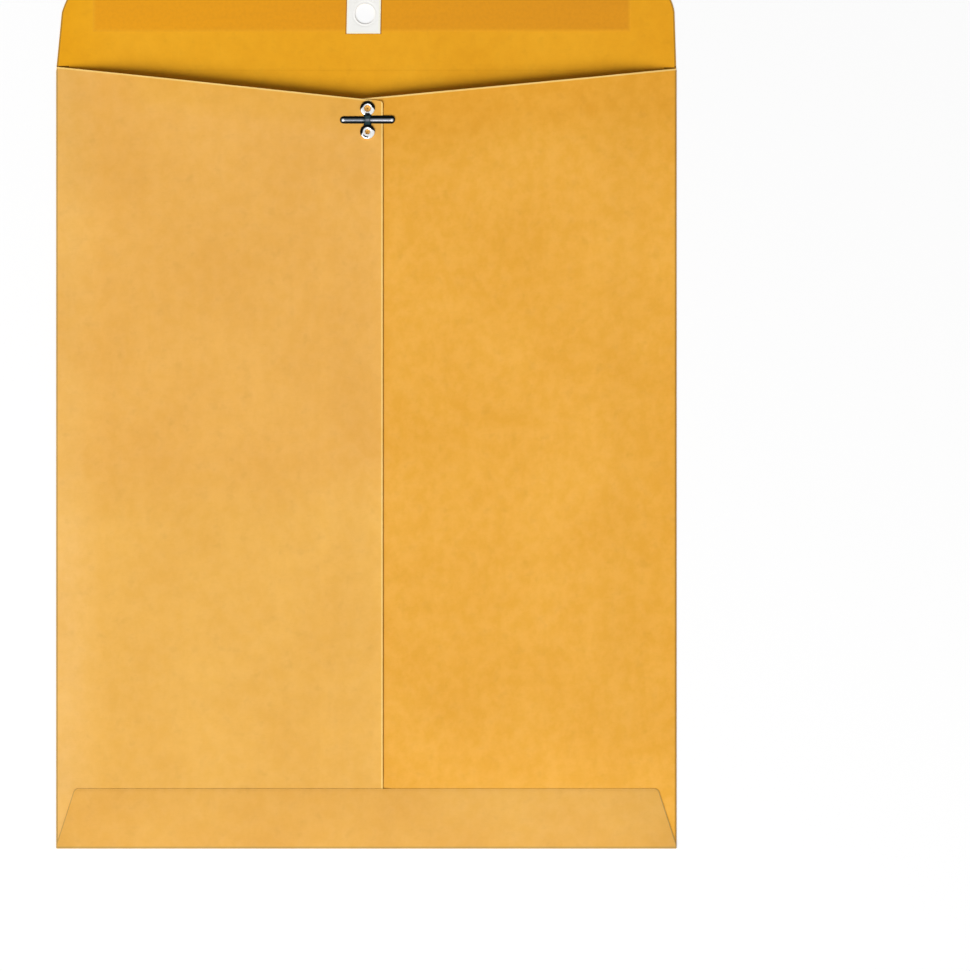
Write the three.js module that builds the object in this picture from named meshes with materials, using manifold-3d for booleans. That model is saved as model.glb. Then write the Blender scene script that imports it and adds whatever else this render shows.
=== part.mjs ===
import * as THREE from "three";
import { mergeVertices } from "three/addons/utils/BufferGeometryUtils.js";
import Module from "manifold-3d";

// A clasp envelope of kraft paper. It lies on its plain front face with its back up and its
// closing flap folded open, flat beyond the top fold. Lengths are in millimetres.
// X runs across the envelope, Y from the bottom fold to the flap, Z up off the table.
// The origin is the middle of the front face, on the table.

// Paper and adhesives
const PAPER = 0.18;
const SEAM_GUM = 0.06;
const FLAP_GUM = 0.05;
const PATCH_PAPER = 0.12;
const LAYER_GAP = 0.03; // clearance between any two layers that lie on each other

// Body: 11 1/2 by 14 1/2 inches from fold to fold, with the pocket standing slightly open
const BODY_WIDTH = 292.1;
const BODY_HEIGHT = 368.3;
const POCKET_GAP = 4.6;
const SIDE_BOW = 22; // from a side fold to where the back lies level
const BOTTOM_BOW = 22; // from the bottom fold to where the back lies level

// Throat: the shallow V that the two back panels leave below the top fold
const THROAT_DEPTH = 15.2;
const THROAT_X = -2.6;

// Back seam: the left panel lies over the right panel
const SEAM_X = 7.5;
const SEAM_OVERLAP = 25;
const SEAM_CORNER = 2.2;
const LAYER_RAMP = 5; // width over which a sheet climbs the edge of the sheet below it

// Bottom flap
const BOTTOM_FLAP_HEIGHT = 28;
const BOTTOM_FLAP_INSET = 8.5;
const BOTTOM_FLAP_FOOT = 2;
const BOTTOM_FLAP_CORNER = 1.6;

// Closing flap
const FLAP_BEYOND_HOLE = 14.7;
const FLAP_TAPER_LEFT = 5.5; // degrees
const FLAP_TAPER_RIGHT = 1.7; // degrees
const FLAP_CORNER_LEFT = 16.2;
const FLAP_CORNER_RIGHT = 15;
const FOLD_GAP = 0.3; // from the front panel's top edge to the flap's root

// Gum strip and reinforcing patch on the flap's inner side, and the hole through them
const GUM_LENGTH = 251;
const GUM_SHIFT = -2.1; // from the envelope's centre line
const GUM_BELOW_HOLE = 7.3;
const GUM_FROM_TIP = 3.5;
const PATCH_WIDTH = 15.9;
const PATCH_HEIGHT = 19.2;
const PATCH_SHIFT = -0.9; // from the hole's centre
const HOLE_RADIUS = 4.8;
const HOLE_SHIFT = -1.1; // from the clasp's centre line

// Clasp of tinned sheet: two eyelets joined by a neck, and two prongs spread flat
const CLASP_X = 0.6;
const CLASP_BELOW_THROAT = 10.1;
const EYELET_SPREAD = 5.5; // from the clasp's centre to an eyelet's centre
const EYELET_RADIUS = 3.5;
const EYELET_BORE = 1.55;
const EYELET_RIM = 0.95; // height of the rolled rim above the paper
const BARREL_WALL = 0.3;
const BARREL_CLEARANCE = 0.3; // between a barrel and the punched paper
const CLINCH_WIDTH = 1.0;
const CLINCH_THICKNESS = 0.25;
const CLASP_SHEET = 0.35;
const NECK_WIDTH = 3.3;
const PRONG_REACH = 13; // from the clasp's centre to a prong's tip
const PRONG_WIDTH = 3.3;
const PRONG_HEIGHT = 0.9;
const PRONG_EDGE = 0.3;
const PRONG_ROOT_GAP = 0.3;

// How finely curves are drawn
const BOW_STEPS = 12;
const ROUND_STEPS = 32;
const LENGTH_STEPS = 6;
const OUTLINE_MARGIN = 5; // how far a cutting outline runs past an edge that it doesn't cut

// Places worked out from the sizes above
const leftFold = -BODY_WIDTH / 2;
const rightFold = BODY_WIDTH / 2;
const bottomFold = -BODY_HEIGHT / 2;
const topFold = BODY_HEIGHT / 2;
const hiddenEdge = SEAM_X - SEAM_OVERLAP;
const claspFromFold = THROAT_DEPTH + CLASP_BELOW_THROAT;
const claspY = topFold - claspFromFold;
const holeX = CLASP_X + HOLE_SHIFT;
const holeY = topFold + claspFromFold;
const flapTip = holeY + FLAP_BEYOND_HOLE;
const layerStep = PAPER + SEAM_GUM + 2 * LAYER_GAP;

const wasm = await Module();
wasm.setup();

function solidOf(geometry) {
  geometry.deleteAttribute("normal");
  geometry.deleteAttribute("uv");
  const merged = mergeVertices(geometry, 1e-4);
  return new wasm.Manifold(
    new wasm.Mesh({
      numProp: 3,
      vertProperties: new Float32Array(merged.attributes.position.array),
      triVerts: new Uint32Array(merged.index.array),
    }),
  );
}

function geometryOf(solid) {
  const mesh = solid.getMesh();
  const geometry = new THREE.BufferGeometry();
  geometry.setAttribute("position", new THREE.BufferAttribute(mesh.vertProperties, 3));
  geometry.setIndex(new THREE.BufferAttribute(mesh.triVerts, 1));
  geometry.computeVertexNormals();
  return geometry;
}

function named(name, geometry, color, roughness, metalness = 0) {
  const material = new THREE.MeshStandardMaterial({ color, roughness, metalness });
  const mesh = new THREE.Mesh(geometry, material);
  mesh.name = name;
  return mesh;
}

// A closed sheet over the grid xs by ys, between an underside and a topside height.
function gridGeometry(xs, ys, underside, topside) {
  const points = [];
  const triangles = [];
  const at = (i, j, level) => (level * xs.length + i) * ys.length + j;
  const quad = (a, b, c, d) => triangles.push(a, b, c, a, c, d);
  for (const height of [underside, topside]) {
    for (const x of xs) {
      for (const y of ys) points.push(x, y, height(x, y));
    }
  }
  const lastX = xs.length - 1;
  const lastY = ys.length - 1;
  for (let i = 0; i < lastX; i++) {
    for (let j = 0; j < lastY; j++) {
      quad(at(i, j, 1), at(i + 1, j, 1), at(i + 1, j + 1, 1), at(i, j + 1, 1));
      quad(at(i, j, 0), at(i, j + 1, 0), at(i + 1, j + 1, 0), at(i + 1, j, 0));
    }
    quad(at(i, 0, 0), at(i + 1, 0, 0), at(i + 1, 0, 1), at(i, 0, 1));
    quad(at(i + 1, lastY, 0), at(i, lastY, 0), at(i, lastY, 1), at(i + 1, lastY, 1));
  }
  for (let j = 0; j < lastY; j++) {
    quad(at(0, j + 1, 0), at(0, j, 0), at(0, j, 1), at(0, j + 1, 1));
    quad(at(lastX, j, 0), at(lastX, j + 1, 0), at(lastX, j + 1, 1), at(lastX, j, 1));
  }
  const geometry = new THREE.BufferGeometry();
  geometry.setAttribute("position", new THREE.Float32BufferAttribute(points, 3));
  geometry.setIndex(triangles);
  return geometry;
}

function evenly(from, to, steps) {
  return Array.from({ length: steps + 1 }, (_, k) => from + ((to - from) * k) / steps);
}

// Every formed sheet shares these grid lines, so that stacked sheets have matching facets.
const linesAcross = [
  ...evenly(leftFold, leftFold + SIDE_BOW, BOW_STEPS),
  hiddenEdge - LAYER_RAMP,
  hiddenEdge,
  SEAM_X,
  SEAM_X + LAYER_RAMP,
  ...evenly(rightFold - SIDE_BOW, rightFold, BOW_STEPS),
];
const linesAlong = [
  ...evenly(bottomFold, bottomFold + BOTTOM_BOW, BOW_STEPS),
  ...evenly(bottomFold + BOTTOM_BOW, topFold, LENGTH_STEPS).slice(1),
];

function linesBetween(lines, low, high) {
  const inside = lines.filter((line) => line > low + 0.01 && line < high - 0.01);
  return [low, ...inside, high];
}

// The back panels rise from the folds in an even bow, and lie level further in.
function bow(distance, width) {
  const share = Math.min(Math.max(distance / width, 0), 1);
  return 1 - (1 - share) ** 2;
}

function pocketHeight(x, y) {
  const side = bow(rightFold - Math.abs(x), SIDE_BOW);
  return POCKET_GAP * side * bow(y - bottomFold, BOTTOM_BOW);
}

// How much the seam's extra layer lifts whatever lies over it: nothing at either side of
// the overlap, and the full step on it.
function seamLift(x) {
  const climb = (x - hiddenEdge + LAYER_RAMP) / LAYER_RAMP;
  const descent = (SEAM_X + LAYER_RAMP - x) / LAYER_RAMP;
  return layerStep * Math.min(Math.max(Math.min(climb, descent), 0), 1);
}

const panelUnderside = (x, y) => PAPER + LAYER_GAP + pocketHeight(x, y);
const rightTop = (x, y) => panelUnderside(x, y) + PAPER;
const leftUnderside = (x, y) => panelUnderside(x, y) + seamLift(x);
const backTop = (x, y) => leftUnderside(x, y) + PAPER;

// A sheet that follows the underside height, cut to an outline drawn in plan.
function formedSheet(outline, box, underside, thickness) {
  const xs = linesBetween(linesAcross, box.min.x, box.max.x);
  const ys = linesBetween(linesAlong, box.min.y, box.max.y);
  const topside = (x, y) => underside(x, y) + thickness;
  const sheet = solidOf(gridGeometry(xs, ys, underside, topside));
  const cutter = new THREE.ExtrudeGeometry(outline, {
    depth: 4 * POCKET_GAP,
    bevelEnabled: false,
    curveSegments: ROUND_STEPS / 4,
  });
  cutter.translate(0, 0, -POCKET_GAP);
  return sheet.intersect(solidOf(cutter));
}

function planBox(left, bottom, right, top) {
  return new THREE.Box2(new THREE.Vector2(left, bottom), new THREE.Vector2(right, top));
}

// Two punched holes for the eyelets' barrels.
function punchEyeletHoles(sheet) {
  const radius = EYELET_BORE + BARREL_WALL + BARREL_CLEARANCE;
  let punched = sheet;
  for (const side of [-1, 1]) {
    const punch = new THREE.CylinderGeometry(radius, radius, 4 * POCKET_GAP, ROUND_STEPS);
    punch.rotateX(Math.PI / 2);
    punch.translate(CLASP_X, claspY + side * EYELET_SPREAD, POCKET_GAP);
    punched = punched.subtract(solidOf(punch));
  }
  return punched;
}

const kraft = "#e9b05a";
const kraftDeep = "#e5a42a";

function frontPanel() {
  const sheet = new THREE.BoxGeometry(BODY_WIDTH, BODY_HEIGHT, PAPER);
  sheet.translate(0, 0, PAPER / 2);
  return named("front_panel", sheet, "#edac51", 0.85);
}

// Height of the throat's edge above the origin, along the line from a top corner of the
// body through the bottom of the V.
function throatEdge(cornerX, x) {
  return topFold - (THROAT_DEPTH * (x - cornerX)) / (THROAT_X - cornerX);
}

// Covers the left half of the back. Its free edge is the seam, with a rounded top corner.
function leftBackPanel() {
  const cornerY = throatEdge(leftFold, SEAM_X) - SEAM_CORNER;
  const shoulderX = SEAM_X - SEAM_CORNER;
  const outerX = leftFold - OUTLINE_MARGIN;
  const outline = new THREE.Shape();
  outline.moveTo(outerX, bottomFold - OUTLINE_MARGIN);
  outline.lineTo(SEAM_X, bottomFold - OUTLINE_MARGIN);
  outline.lineTo(SEAM_X, cornerY);
  outline.quadraticCurveTo(
    SEAM_X,
    throatEdge(leftFold, SEAM_X),
    shoulderX,
    throatEdge(leftFold, shoulderX),
  );
  outline.lineTo(outerX, throatEdge(leftFold, outerX));
  const box = planBox(leftFold, bottomFold, SEAM_X + 1, topFold + 1);
  const sheet = formedSheet(outline, box, leftUnderside, PAPER);
  return named("left_back_panel", geometryOf(punchEyeletHoles(sheet)), kraft, 0.85);
}

// Covers the right half of the back and runs under the left panel to its hidden edge.
function rightBackPanel() {
  const outerX = rightFold + OUTLINE_MARGIN;
  const outline = new THREE.Shape();
  outline.moveTo(hiddenEdge, bottomFold - OUTLINE_MARGIN);
  outline.lineTo(outerX, bottomFold - OUTLINE_MARGIN);
  outline.lineTo(outerX, throatEdge(rightFold, outerX));
  outline.lineTo(hiddenEdge, throatEdge(rightFold, hiddenEdge));
  const box = planBox(hiddenEdge - 1, bottomFold, rightFold, topFold + 1);
  const sheet = formedSheet(outline, box, panelUnderside, PAPER);
  return named("right_back_panel", geometryOf(punchEyeletHoles(sheet)), "#e7a845", 0.85);
}

// The dried gum that joins the two back panels along the seam.
function seamGum() {
  const edge = SEAM_OVERLAP / 8;
  const left = hiddenEdge + edge;
  const right = SEAM_X - edge;
  const bottom = bottomFold + edge;
  const top = throatEdge(rightFold, hiddenEdge) - edge / 2;
  const underside = (x, y) => rightTop(x, y) + LAYER_GAP;
  const xs = linesBetween(linesAcross, left, right);
  const ys = linesBetween(linesAlong, bottom, top);
  const topside = (x, y) => underside(x, y) + SEAM_GUM;
  const film = solidOf(gridGeometry(xs, ys, underside, topside));
  return named("seam_gum", geometryOf(punchEyeletHoles(film)), "#d9a252", 0.5);
}

// Outline of the bottom flap, folded up over the back: slanted ends with rounded corners.
function bottomFlapOutline() {
  const top = bottomFold + BOTTOM_FLAP_HEIGHT;
  const foot = bottomFold + BOTTOM_FLAP_FOOT;
  const slope = BOTTOM_FLAP_INSET / (BOTTOM_FLAP_HEIGHT - BOTTOM_FLAP_FOOT);
  const outline = new THREE.Shape();
  outline.moveTo(leftFold, bottomFold - OUTLINE_MARGIN);
  outline.lineTo(rightFold, bottomFold - OUTLINE_MARGIN);
  outline.lineTo(rightFold, foot);
  const roundY = top - BOTTOM_FLAP_CORNER;
  const roundX = rightFold - slope * (roundY - foot);
  const topX = rightFold - BOTTOM_FLAP_INSET;
  outline.lineTo(roundX, roundY);
  outline.quadraticCurveTo(topX, top, topX - BOTTOM_FLAP_CORNER, top);
  outline.lineTo(-topX + BOTTOM_FLAP_CORNER, top);
  outline.quadraticCurveTo(-topX, top, -roundX, roundY);
  outline.lineTo(leftFold, foot);
  return outline;
}

function bottomFlap() {
  const stack = SEAM_GUM + 2 * LAYER_GAP;
  const underside = (x, y) => backTop(x, y) + stack;
  const box = planBox(
    leftFold - 1,
    bottomFold,
    rightFold + 1,
    bottomFold + BOTTOM_FLAP_HEIGHT + 1,
  );
  const sheet = formedSheet(bottomFlapOutline(), box, underside, PAPER);
  return named("bottom_flap", geometryOf(sheet), kraft, 0.85);
}

// The dried gum under the bottom flap.
function bottomFlapGum() {
  const edge = BOTTOM_FLAP_HEIGHT / 8;
  const halfLength = rightFold - BOTTOM_FLAP_INSET - edge;
  const underside = (x, y) => backTop(x, y) + LAYER_GAP;
  const topside = (x, y) => underside(x, y) + SEAM_GUM;
  const xs = linesBetween(linesAcross, -halfLength, halfLength);
  const top = bottomFold + BOTTOM_FLAP_HEIGHT - edge;
  const ys = linesBetween(linesAlong, bottomFold + edge, top);
  return named("bottom_flap_gum", gridGeometry(xs, ys, underside, topside), "#d9a252", 0.5);
}

function clasphole() {
  return new THREE.Path().absarc(holeX, holeY, HOLE_RADIUS, 0, 2 * Math.PI, true);
}

function flatSheet(outline, underside, thickness) {
  outline.holes.push(clasphole());
  const sheet = new THREE.ExtrudeGeometry(outline, {
    depth: thickness,
    bevelEnabled: false,
    curveSegments: ROUND_STEPS / 2,
  });
  sheet.translate(0, 0, underside);
  return sheet;
}

// The closing flap, open: it tapers a little to its tip, and the tip's corners are round.
function closureFlap() {
  const root = topFold + FOLD_GAP;
  const taper = [FLAP_TAPER_LEFT, FLAP_TAPER_RIGHT].map((angle) =>
    Math.tan(THREE.MathUtils.degToRad(angle)),
  );
  const leftAt = (y) => leftFold + taper[0] * (y - topFold);
  const rightAt = (y) => rightFold - taper[1] * (y - topFold);
  const roundLeft = flapTip - FLAP_CORNER_LEFT;
  const roundRight = flapTip - FLAP_CORNER_RIGHT;
  const centreLeft = leftAt(roundLeft) + FLAP_CORNER_LEFT;
  const centreRight = rightAt(roundRight) - FLAP_CORNER_RIGHT;
  const outline = new THREE.Shape();
  outline.moveTo(leftAt(root), root);
  outline.lineTo(rightAt(root), root);
  outline.lineTo(rightAt(roundRight), roundRight);
  outline.absarc(centreRight, roundRight, FLAP_CORNER_RIGHT, 0, Math.PI / 2);
  outline.absarc(centreLeft, roundLeft, FLAP_CORNER_LEFT, Math.PI / 2, Math.PI);
  return named("closure_flap", flatSheet(outline, 0, PAPER), kraftDeep, 0.8);
}

function rectangle(left, bottom, right, top) {
  const outline = new THREE.Shape();
  outline.moveTo(left, bottom);
  outline.lineTo(right, bottom);
  outline.lineTo(right, top);
  outline.lineTo(left, top);
  return outline;
}

const flapGumUnderside = PAPER + LAYER_GAP;
const patchUnderside = flapGumUnderside + FLAP_GUM + LAYER_GAP;

function flapGumStrip() {
  const outline = rectangle(
    GUM_SHIFT - GUM_LENGTH / 2,
    holeY - GUM_BELOW_HOLE,
    GUM_SHIFT + GUM_LENGTH / 2,
    flapTip - GUM_FROM_TIP,
  );
  const film = flatSheet(outline, flapGumUnderside, FLAP_GUM);
  return named("flap_gum_strip", film, "#e09a1e", 0.45);
}

function holePatch() {
  const middle = holeX + PATCH_SHIFT;
  const outline = rectangle(
    middle - PATCH_WIDTH / 2,
    holeY - PATCH_HEIGHT / 2,
    middle + PATCH_WIDTH / 2,
    holeY + PATCH_HEIGHT / 2,
  );
  return named("hole_patch", flatSheet(outline, patchUnderside, PATCH_PAPER), "#f2efea", 0.7);
}

const claspSeat = backTop(CLASP_X, claspY) + LAYER_GAP;
const neckTop = claspSeat + CLASP_SHEET;

// One eyelet: a rolled rim on the paper, a barrel through both panels and a clinched
// flange inside the pocket.
function eyelet() {
  const barrel = EYELET_BORE + BARREL_WALL;
  const clinchTop = panelUnderside(CLASP_X, claspY) - LAYER_GAP;
  const clinchBottom = clinchTop - CLINCH_THICKNESS;
  const crownRadius = (EYELET_RADIUS - EYELET_BORE) / 2;
  const crown = [1, 2, 3, 4, 5, 6, 7].map((step) => {
    const turn = (Math.PI * step) / 8;
    return new THREE.Vector2(
      EYELET_BORE + crownRadius * (1 + Math.cos(turn)),
      claspSeat + PRONG_EDGE + (EYELET_RIM - PRONG_EDGE) * Math.sin(turn),
    );
  });
  const profile = [
    new THREE.Vector2(EYELET_BORE, clinchBottom),
    new THREE.Vector2(barrel + CLINCH_WIDTH, clinchBottom),
    new THREE.Vector2(barrel + CLINCH_WIDTH, clinchTop),
    new THREE.Vector2(barrel, clinchTop),
    new THREE.Vector2(barrel, claspSeat),
    new THREE.Vector2(EYELET_RADIUS, claspSeat),
    new THREE.Vector2(EYELET_RADIUS, claspSeat + PRONG_EDGE),
    ...crown,
    new THREE.Vector2(EYELET_BORE, claspSeat + PRONG_EDGE),
    new THREE.Vector2(EYELET_BORE, clinchBottom),
  ];
  return new THREE.LatheGeometry(profile, ROUND_STEPS).rotateX(Math.PI / 2);
}

function claspBase() {
  const neckEnd = EYELET_SPREAD - (EYELET_RADIUS + EYELET_BORE) / 2;
  const neck = new THREE.BoxGeometry(NECK_WIDTH, 2 * neckEnd, CLASP_SHEET);
  neck.translate(CLASP_X, claspY, claspSeat + CLASP_SHEET / 2);
  let base = solidOf(neck);
  for (const side of [-1, 1]) {
    const ring = eyelet().translate(CLASP_X, claspY + side * EYELET_SPREAD, 0);
    base = base.add(solidOf(ring));
  }
  return named("clasp_base", geometryOf(base), "#9aa0a3", 0.3, 1);
}

// A prong spread flat: a half-round strip with a rounded tip. side is -1 for the left one.
function claspProng(name, side) {
  const rootX = NECK_WIDTH / 2 + PRONG_ROOT_GAP;
  const tipRadius = PRONG_WIDTH / 2;
  const tipTurns = evenly(0, 0.97, 7);
  const along = [rootX, ...tipTurns.map((turn) => PRONG_REACH - tipRadius * (1 - turn))];
  const across = evenly(-1, 1, 8);
  const halfWidth = (x) => {
    const past = Math.max((x - PRONG_REACH + tipRadius) / tipRadius, 0);
    return tipRadius * Math.sqrt(1 - past ** 2);
  };
  const crown = (x, share) => {
    const dome = Math.sqrt(Math.max(1 - share ** 2, 0));
    return PRONG_EDGE + (PRONG_HEIGHT - PRONG_EDGE) * dome * (halfWidth(x) / tipRadius);
  };
  const strip = gridGeometry(along, across, () => 0, crown);
  const place = strip.attributes.position;
  for (let i = 0; i < place.count; i++) {
    const x = place.getX(i);
    place.setXY(i, x, place.getY(i) * halfWidth(x));
  }
  if (side < 0) strip.rotateZ(Math.PI);
  strip.translate(CLASP_X, claspY, claspSeat);
  return named(name, strip, "#b9bec1", 0.25, 1);
}

const envelope = new THREE.Group();
envelope.add(
  frontPanel(),
  leftBackPanel(),
  rightBackPanel(),
  seamGum(),
  bottomFlap(),
  bottomFlapGum(),
  closureFlap(),
  flapGumStrip(),
  holePatch(),
  claspBase(),
  claspProng("clasp_prong_left", -1),
  claspProng("clasp_prong_right", 1),
);

export default envelope;
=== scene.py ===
# %% [markdown]
# # A kraft clasp envelope, back up, with its flap folded open
# The envelope is one folded sheet of kraft paper, closed by gum, with a pale patch round
# the punched hole of its flap and a tinned clasp on its back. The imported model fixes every
# size and place, so this script first loads it as a frame and then dresses each part.

# %% Load the fixed frame
import math

import bmesh
import bpy
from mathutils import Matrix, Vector, noise


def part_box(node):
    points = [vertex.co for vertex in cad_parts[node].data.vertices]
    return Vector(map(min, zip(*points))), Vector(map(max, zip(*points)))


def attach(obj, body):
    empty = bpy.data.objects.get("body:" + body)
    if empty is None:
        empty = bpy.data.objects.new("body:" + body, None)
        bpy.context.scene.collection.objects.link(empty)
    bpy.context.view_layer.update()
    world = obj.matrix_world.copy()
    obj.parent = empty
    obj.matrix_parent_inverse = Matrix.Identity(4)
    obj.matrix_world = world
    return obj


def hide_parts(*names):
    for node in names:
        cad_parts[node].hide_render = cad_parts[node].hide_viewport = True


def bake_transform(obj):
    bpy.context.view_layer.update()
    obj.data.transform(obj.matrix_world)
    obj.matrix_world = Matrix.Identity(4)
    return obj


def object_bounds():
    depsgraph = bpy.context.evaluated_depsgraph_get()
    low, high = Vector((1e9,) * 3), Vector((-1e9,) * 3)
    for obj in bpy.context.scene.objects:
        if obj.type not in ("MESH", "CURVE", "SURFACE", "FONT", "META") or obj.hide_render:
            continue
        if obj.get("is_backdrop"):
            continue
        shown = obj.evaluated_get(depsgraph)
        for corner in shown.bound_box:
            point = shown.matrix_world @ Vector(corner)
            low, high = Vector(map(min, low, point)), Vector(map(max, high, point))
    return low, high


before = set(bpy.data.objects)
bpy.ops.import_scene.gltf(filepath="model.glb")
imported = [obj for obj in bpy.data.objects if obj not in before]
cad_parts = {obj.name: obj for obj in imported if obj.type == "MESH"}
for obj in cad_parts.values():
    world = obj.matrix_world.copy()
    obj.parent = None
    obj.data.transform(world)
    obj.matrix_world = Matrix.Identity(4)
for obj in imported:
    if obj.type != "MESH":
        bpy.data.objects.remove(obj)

MM = 0.001
cad_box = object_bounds()
print("the model's box, in millimetres:", [tuple(round(v / MM, 2) for v in c) for c in cad_box])

# %% [markdown]
# ## Sizes that everything shares
# A person who folds an envelope starts from the folds, so the places of the folds, of the
# seam and of the clasp are read from the frame. Only what the boxes of the nodes can't say,
# such as the depth of the throat, is a named value here.

# %% Folds, seam and levels
front_low, front_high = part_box("front_panel")
left_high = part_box("left_back_panel")[1]
right_low, right_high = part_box("right_back_panel")
LEFT_FOLD, RIGHT_FOLD = front_low[0], front_high[0]
BOTTOM_FOLD, TOP_FOLD = front_low[1], front_high[1]
PAPER = front_high[2] - front_low[2]
SEAM_SHIFT = 0.3 * MM
SEAM = left_high[0] + SEAM_SHIFT
HIDDEN_EDGE = right_low[0]
LAYER_GAP = right_low[2] - front_high[2]
POCKET_GAP = right_high[2] - 2 * PAPER - LAYER_GAP
SEAM_STEP = left_high[2] - right_high[2]
THROAT_DEPTH = 15.2 * MM
THROAT_X = -2.6 * MM
print("pocket stands open by", round(POCKET_GAP / MM, 2), "mm, and the seam steps up by",
      round(SEAM_STEP / MM, 2), "mm")

# %% Places of the clasp, flap, hole, patch and gum
clasp_low, clasp_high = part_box("clasp_base")
prong_low, prong_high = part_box("clasp_prong_right")
patch_low, patch_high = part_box("hole_patch")
flap_gum_low, flap_gum_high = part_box("flap_gum_strip")
FLAP_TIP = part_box("closure_flap")[1][1]
BOTTOM_FLAP_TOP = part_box("bottom_flap")[1][1]
CLASP_X = (clasp_low[0] + clasp_high[0]) / 2
CLASP_Y = (clasp_low[1] + clasp_high[1]) / 2
CLASP_SEAT = prong_low[2]
HOLE_DROP = 0.4 * MM
HOLE_X = -0.6 * MM
HOLE_Y = (patch_low[1] + patch_high[1]) / 2 - HOLE_DROP
HOLE_RADIUS = 4.8 * MM
print("clasp", round(TOP_FOLD / MM - CLASP_Y / MM, 2), "below the fold, hole",
      round(HOLE_Y / MM - TOP_FOLD / MM, 2), "above it")

# %% [markdown]
# ## How the paper lies
# A folded envelope never lies dead flat. Its folds hold the back down and the paper between
# them bows up, steeply beside a fold and level further in, with faint waves from damp and
# handling. It could be a cloth simulation, but stiff paper barely stretches, and a function
# of x and y keeps the edges exactly on the folds. All layers use the same function, so that
# stacked sheets can't cut through each other.

# %% Bows and waves
def smooth(value):
    """Runs softly from 0 to 1, and stays level on either side."""
    value = min(max(value, 0.0), 1.0)
    return value * value * (3 - 2 * value)


def bow(distance, width):
    """0 at a fold, steep beside it, and 1 from the bow's width on."""
    share = min(max(distance / width, 0.0), 1.0)
    return 1 - (1 - share) ** 2


def ripple(x, y, across, along, layer):
    """A faint unevenness between -1 and 1, with about so many swells to the metre."""
    return noise.noise(Vector((x * across, y * along, layer)))


WAVE_HEIGHT = 0.22 * MM
BROAD_WAVES = (11, 8, 2.0)
FINE_WAVES = (34, 27, 7.0)
FINE_SHARE = 0.3


def paper_wave(x, y):
    waves = ripple(x, y, *BROAD_WAVES) + FINE_SHARE * ripple(x, y, *FINE_WAVES)
    return WAVE_HEIGHT * waves


PINNED = 14 * MM


def freedom(x, y):
    """0 near the clasp, which pins the layers together, and 1 away from it."""
    away = math.hypot(x - CLASP_X, y - CLASP_Y)
    return smooth((away - PINNED) / PINNED)


places = [(x * MM, y * MM) for x in range(-140, 141, 10) for y in range(-180, 181, 10)]
highest_wave = max(paper_wave(x, y) for x, y in places)
print("the paper's waves rise by up to", round(highest_wave / MM, 2), "mm")

# %% Heights of the pocket and of the overlap
LEFT_BOW = 24 * MM
LEFT_THROAT_BOW = 52 * MM
RIGHT_BOW = 40 * MM
RIGHT_THROAT_BOW = 40 * MM
BOTTOM_BOW = 62 * MM
THROAT_ZONE = 70 * MM
LAYER_RAMP = 5 * MM


def pocket_height(x, y):
    """The bow beside a side fold is wider at the throat, where no panel closes the mouth."""
    margin, throat = (LEFT_BOW, LEFT_THROAT_BOW) if x < 0 else (RIGHT_BOW, RIGHT_THROAT_BOW)
    opened = smooth((y - TOP_FOLD + THROAT_ZONE) / THROAT_ZONE)
    side = bow(RIGHT_FOLD - abs(x), margin + (throat - margin) * opened)
    hold = side * bow(y - BOTTOM_FOLD, BOTTOM_BOW)
    return hold * (POCKET_GAP + paper_wave(x, y) * freedom(x, y))


def panel_under(x, y):
    """The underside of the right back panel, which lies lowest of the back."""
    return PAPER + LAYER_GAP + pocket_height(x, y)


def seam_lift(x):
    """The left panel climbs over the right one's hidden edge, as far as the seam."""
    climb = (x - HIDDEN_EDGE + LAYER_RAMP) / LAYER_RAMP
    descent = (SEAM + LAYER_RAMP - x) / LAYER_RAMP
    return SEAM_STEP * smooth(min(climb, descent))


def throat_edge(fold_x, x):
    """The cut that falls from a side fold to the throat's lowest point."""
    return TOP_FOLD - THROAT_DEPTH * (x - fold_x) / (THROAT_X - fold_x)


print("seam lift on the overlap:", round(seam_lift(0) / MM, 3), "mm")

# %% [markdown]
# ## Meshes from rows of points
# Paper, petals and prongs are all thin closed bodies: an upper face, a lower face and the cut
# edge between them. Solidify could thicken a plane, but here the rows follow slanted and
# rounded outlines, so each body is two layers of points with faces between them. One helper
# makes the faces, and others map the paper's pattern and put the mesh into the scene.

# %% Helpers for points and faces
def steps(start, end, count):
    """Even steps from start to end, both included."""
    return [start + (end - start) * k / count for k in range(count + 1)]


def quarter(count):
    """How far a quarter circle has risen after each of its even steps, from 0 to 1."""
    return [math.sin(math.pi / 2 * k / count) for k in range(count + 1)]


def corner_inset(into, radius):
    """How far a rounded corner has drawn in, so far into it."""
    return radius - math.sqrt(max(radius**2 - into**2, 0.0))


def shell_faces(across, along, first=0):
    """Faces of two layers of points, the lower layer first, and then of the rim."""
    layer = across * along
    faces = []
    for i in range(across - 1):
        for j in range(along - 1):
            a = first + i * along + j
            b = a + along
            faces.append((layer + a, layer + b, layer + b + 1, layer + a + 1))
            faces.append((a, a + 1, b + 1, b))
    rim = [first + i * along for i in range(across)]
    rim += [first + (across - 1) * along + j for j in range(1, along)]
    rim += [first + i * along + along - 1 for i in range(across - 2, -1, -1)]
    rim += [first + j for j in range(along - 2, 0, -1)]
    for a, b in zip(rim, rim[1:] + rim[:1]):
        faces.append((a, b, layer + b, layer + a))
    return faces


print("a smallest shell has", len(shell_faces(2, 2)), "faces")

# %% Helpers for meshes and pieces
PAPER_CREASE = 40
ROUND_CREASE = 50


def mesh_from(name, points, faces):
    mesh = bpy.data.meshes.new(name)
    mesh.from_pydata(points, [], faces)
    return mesh


def turn_outward(mesh):
    """Turns every face of a closed mesh so that it looks outward."""
    work = bmesh.new()
    work.from_mesh(mesh)
    bmesh.ops.recalc_face_normals(work, faces=work.faces)
    work.to_mesh(mesh)
    work.free()


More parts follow.
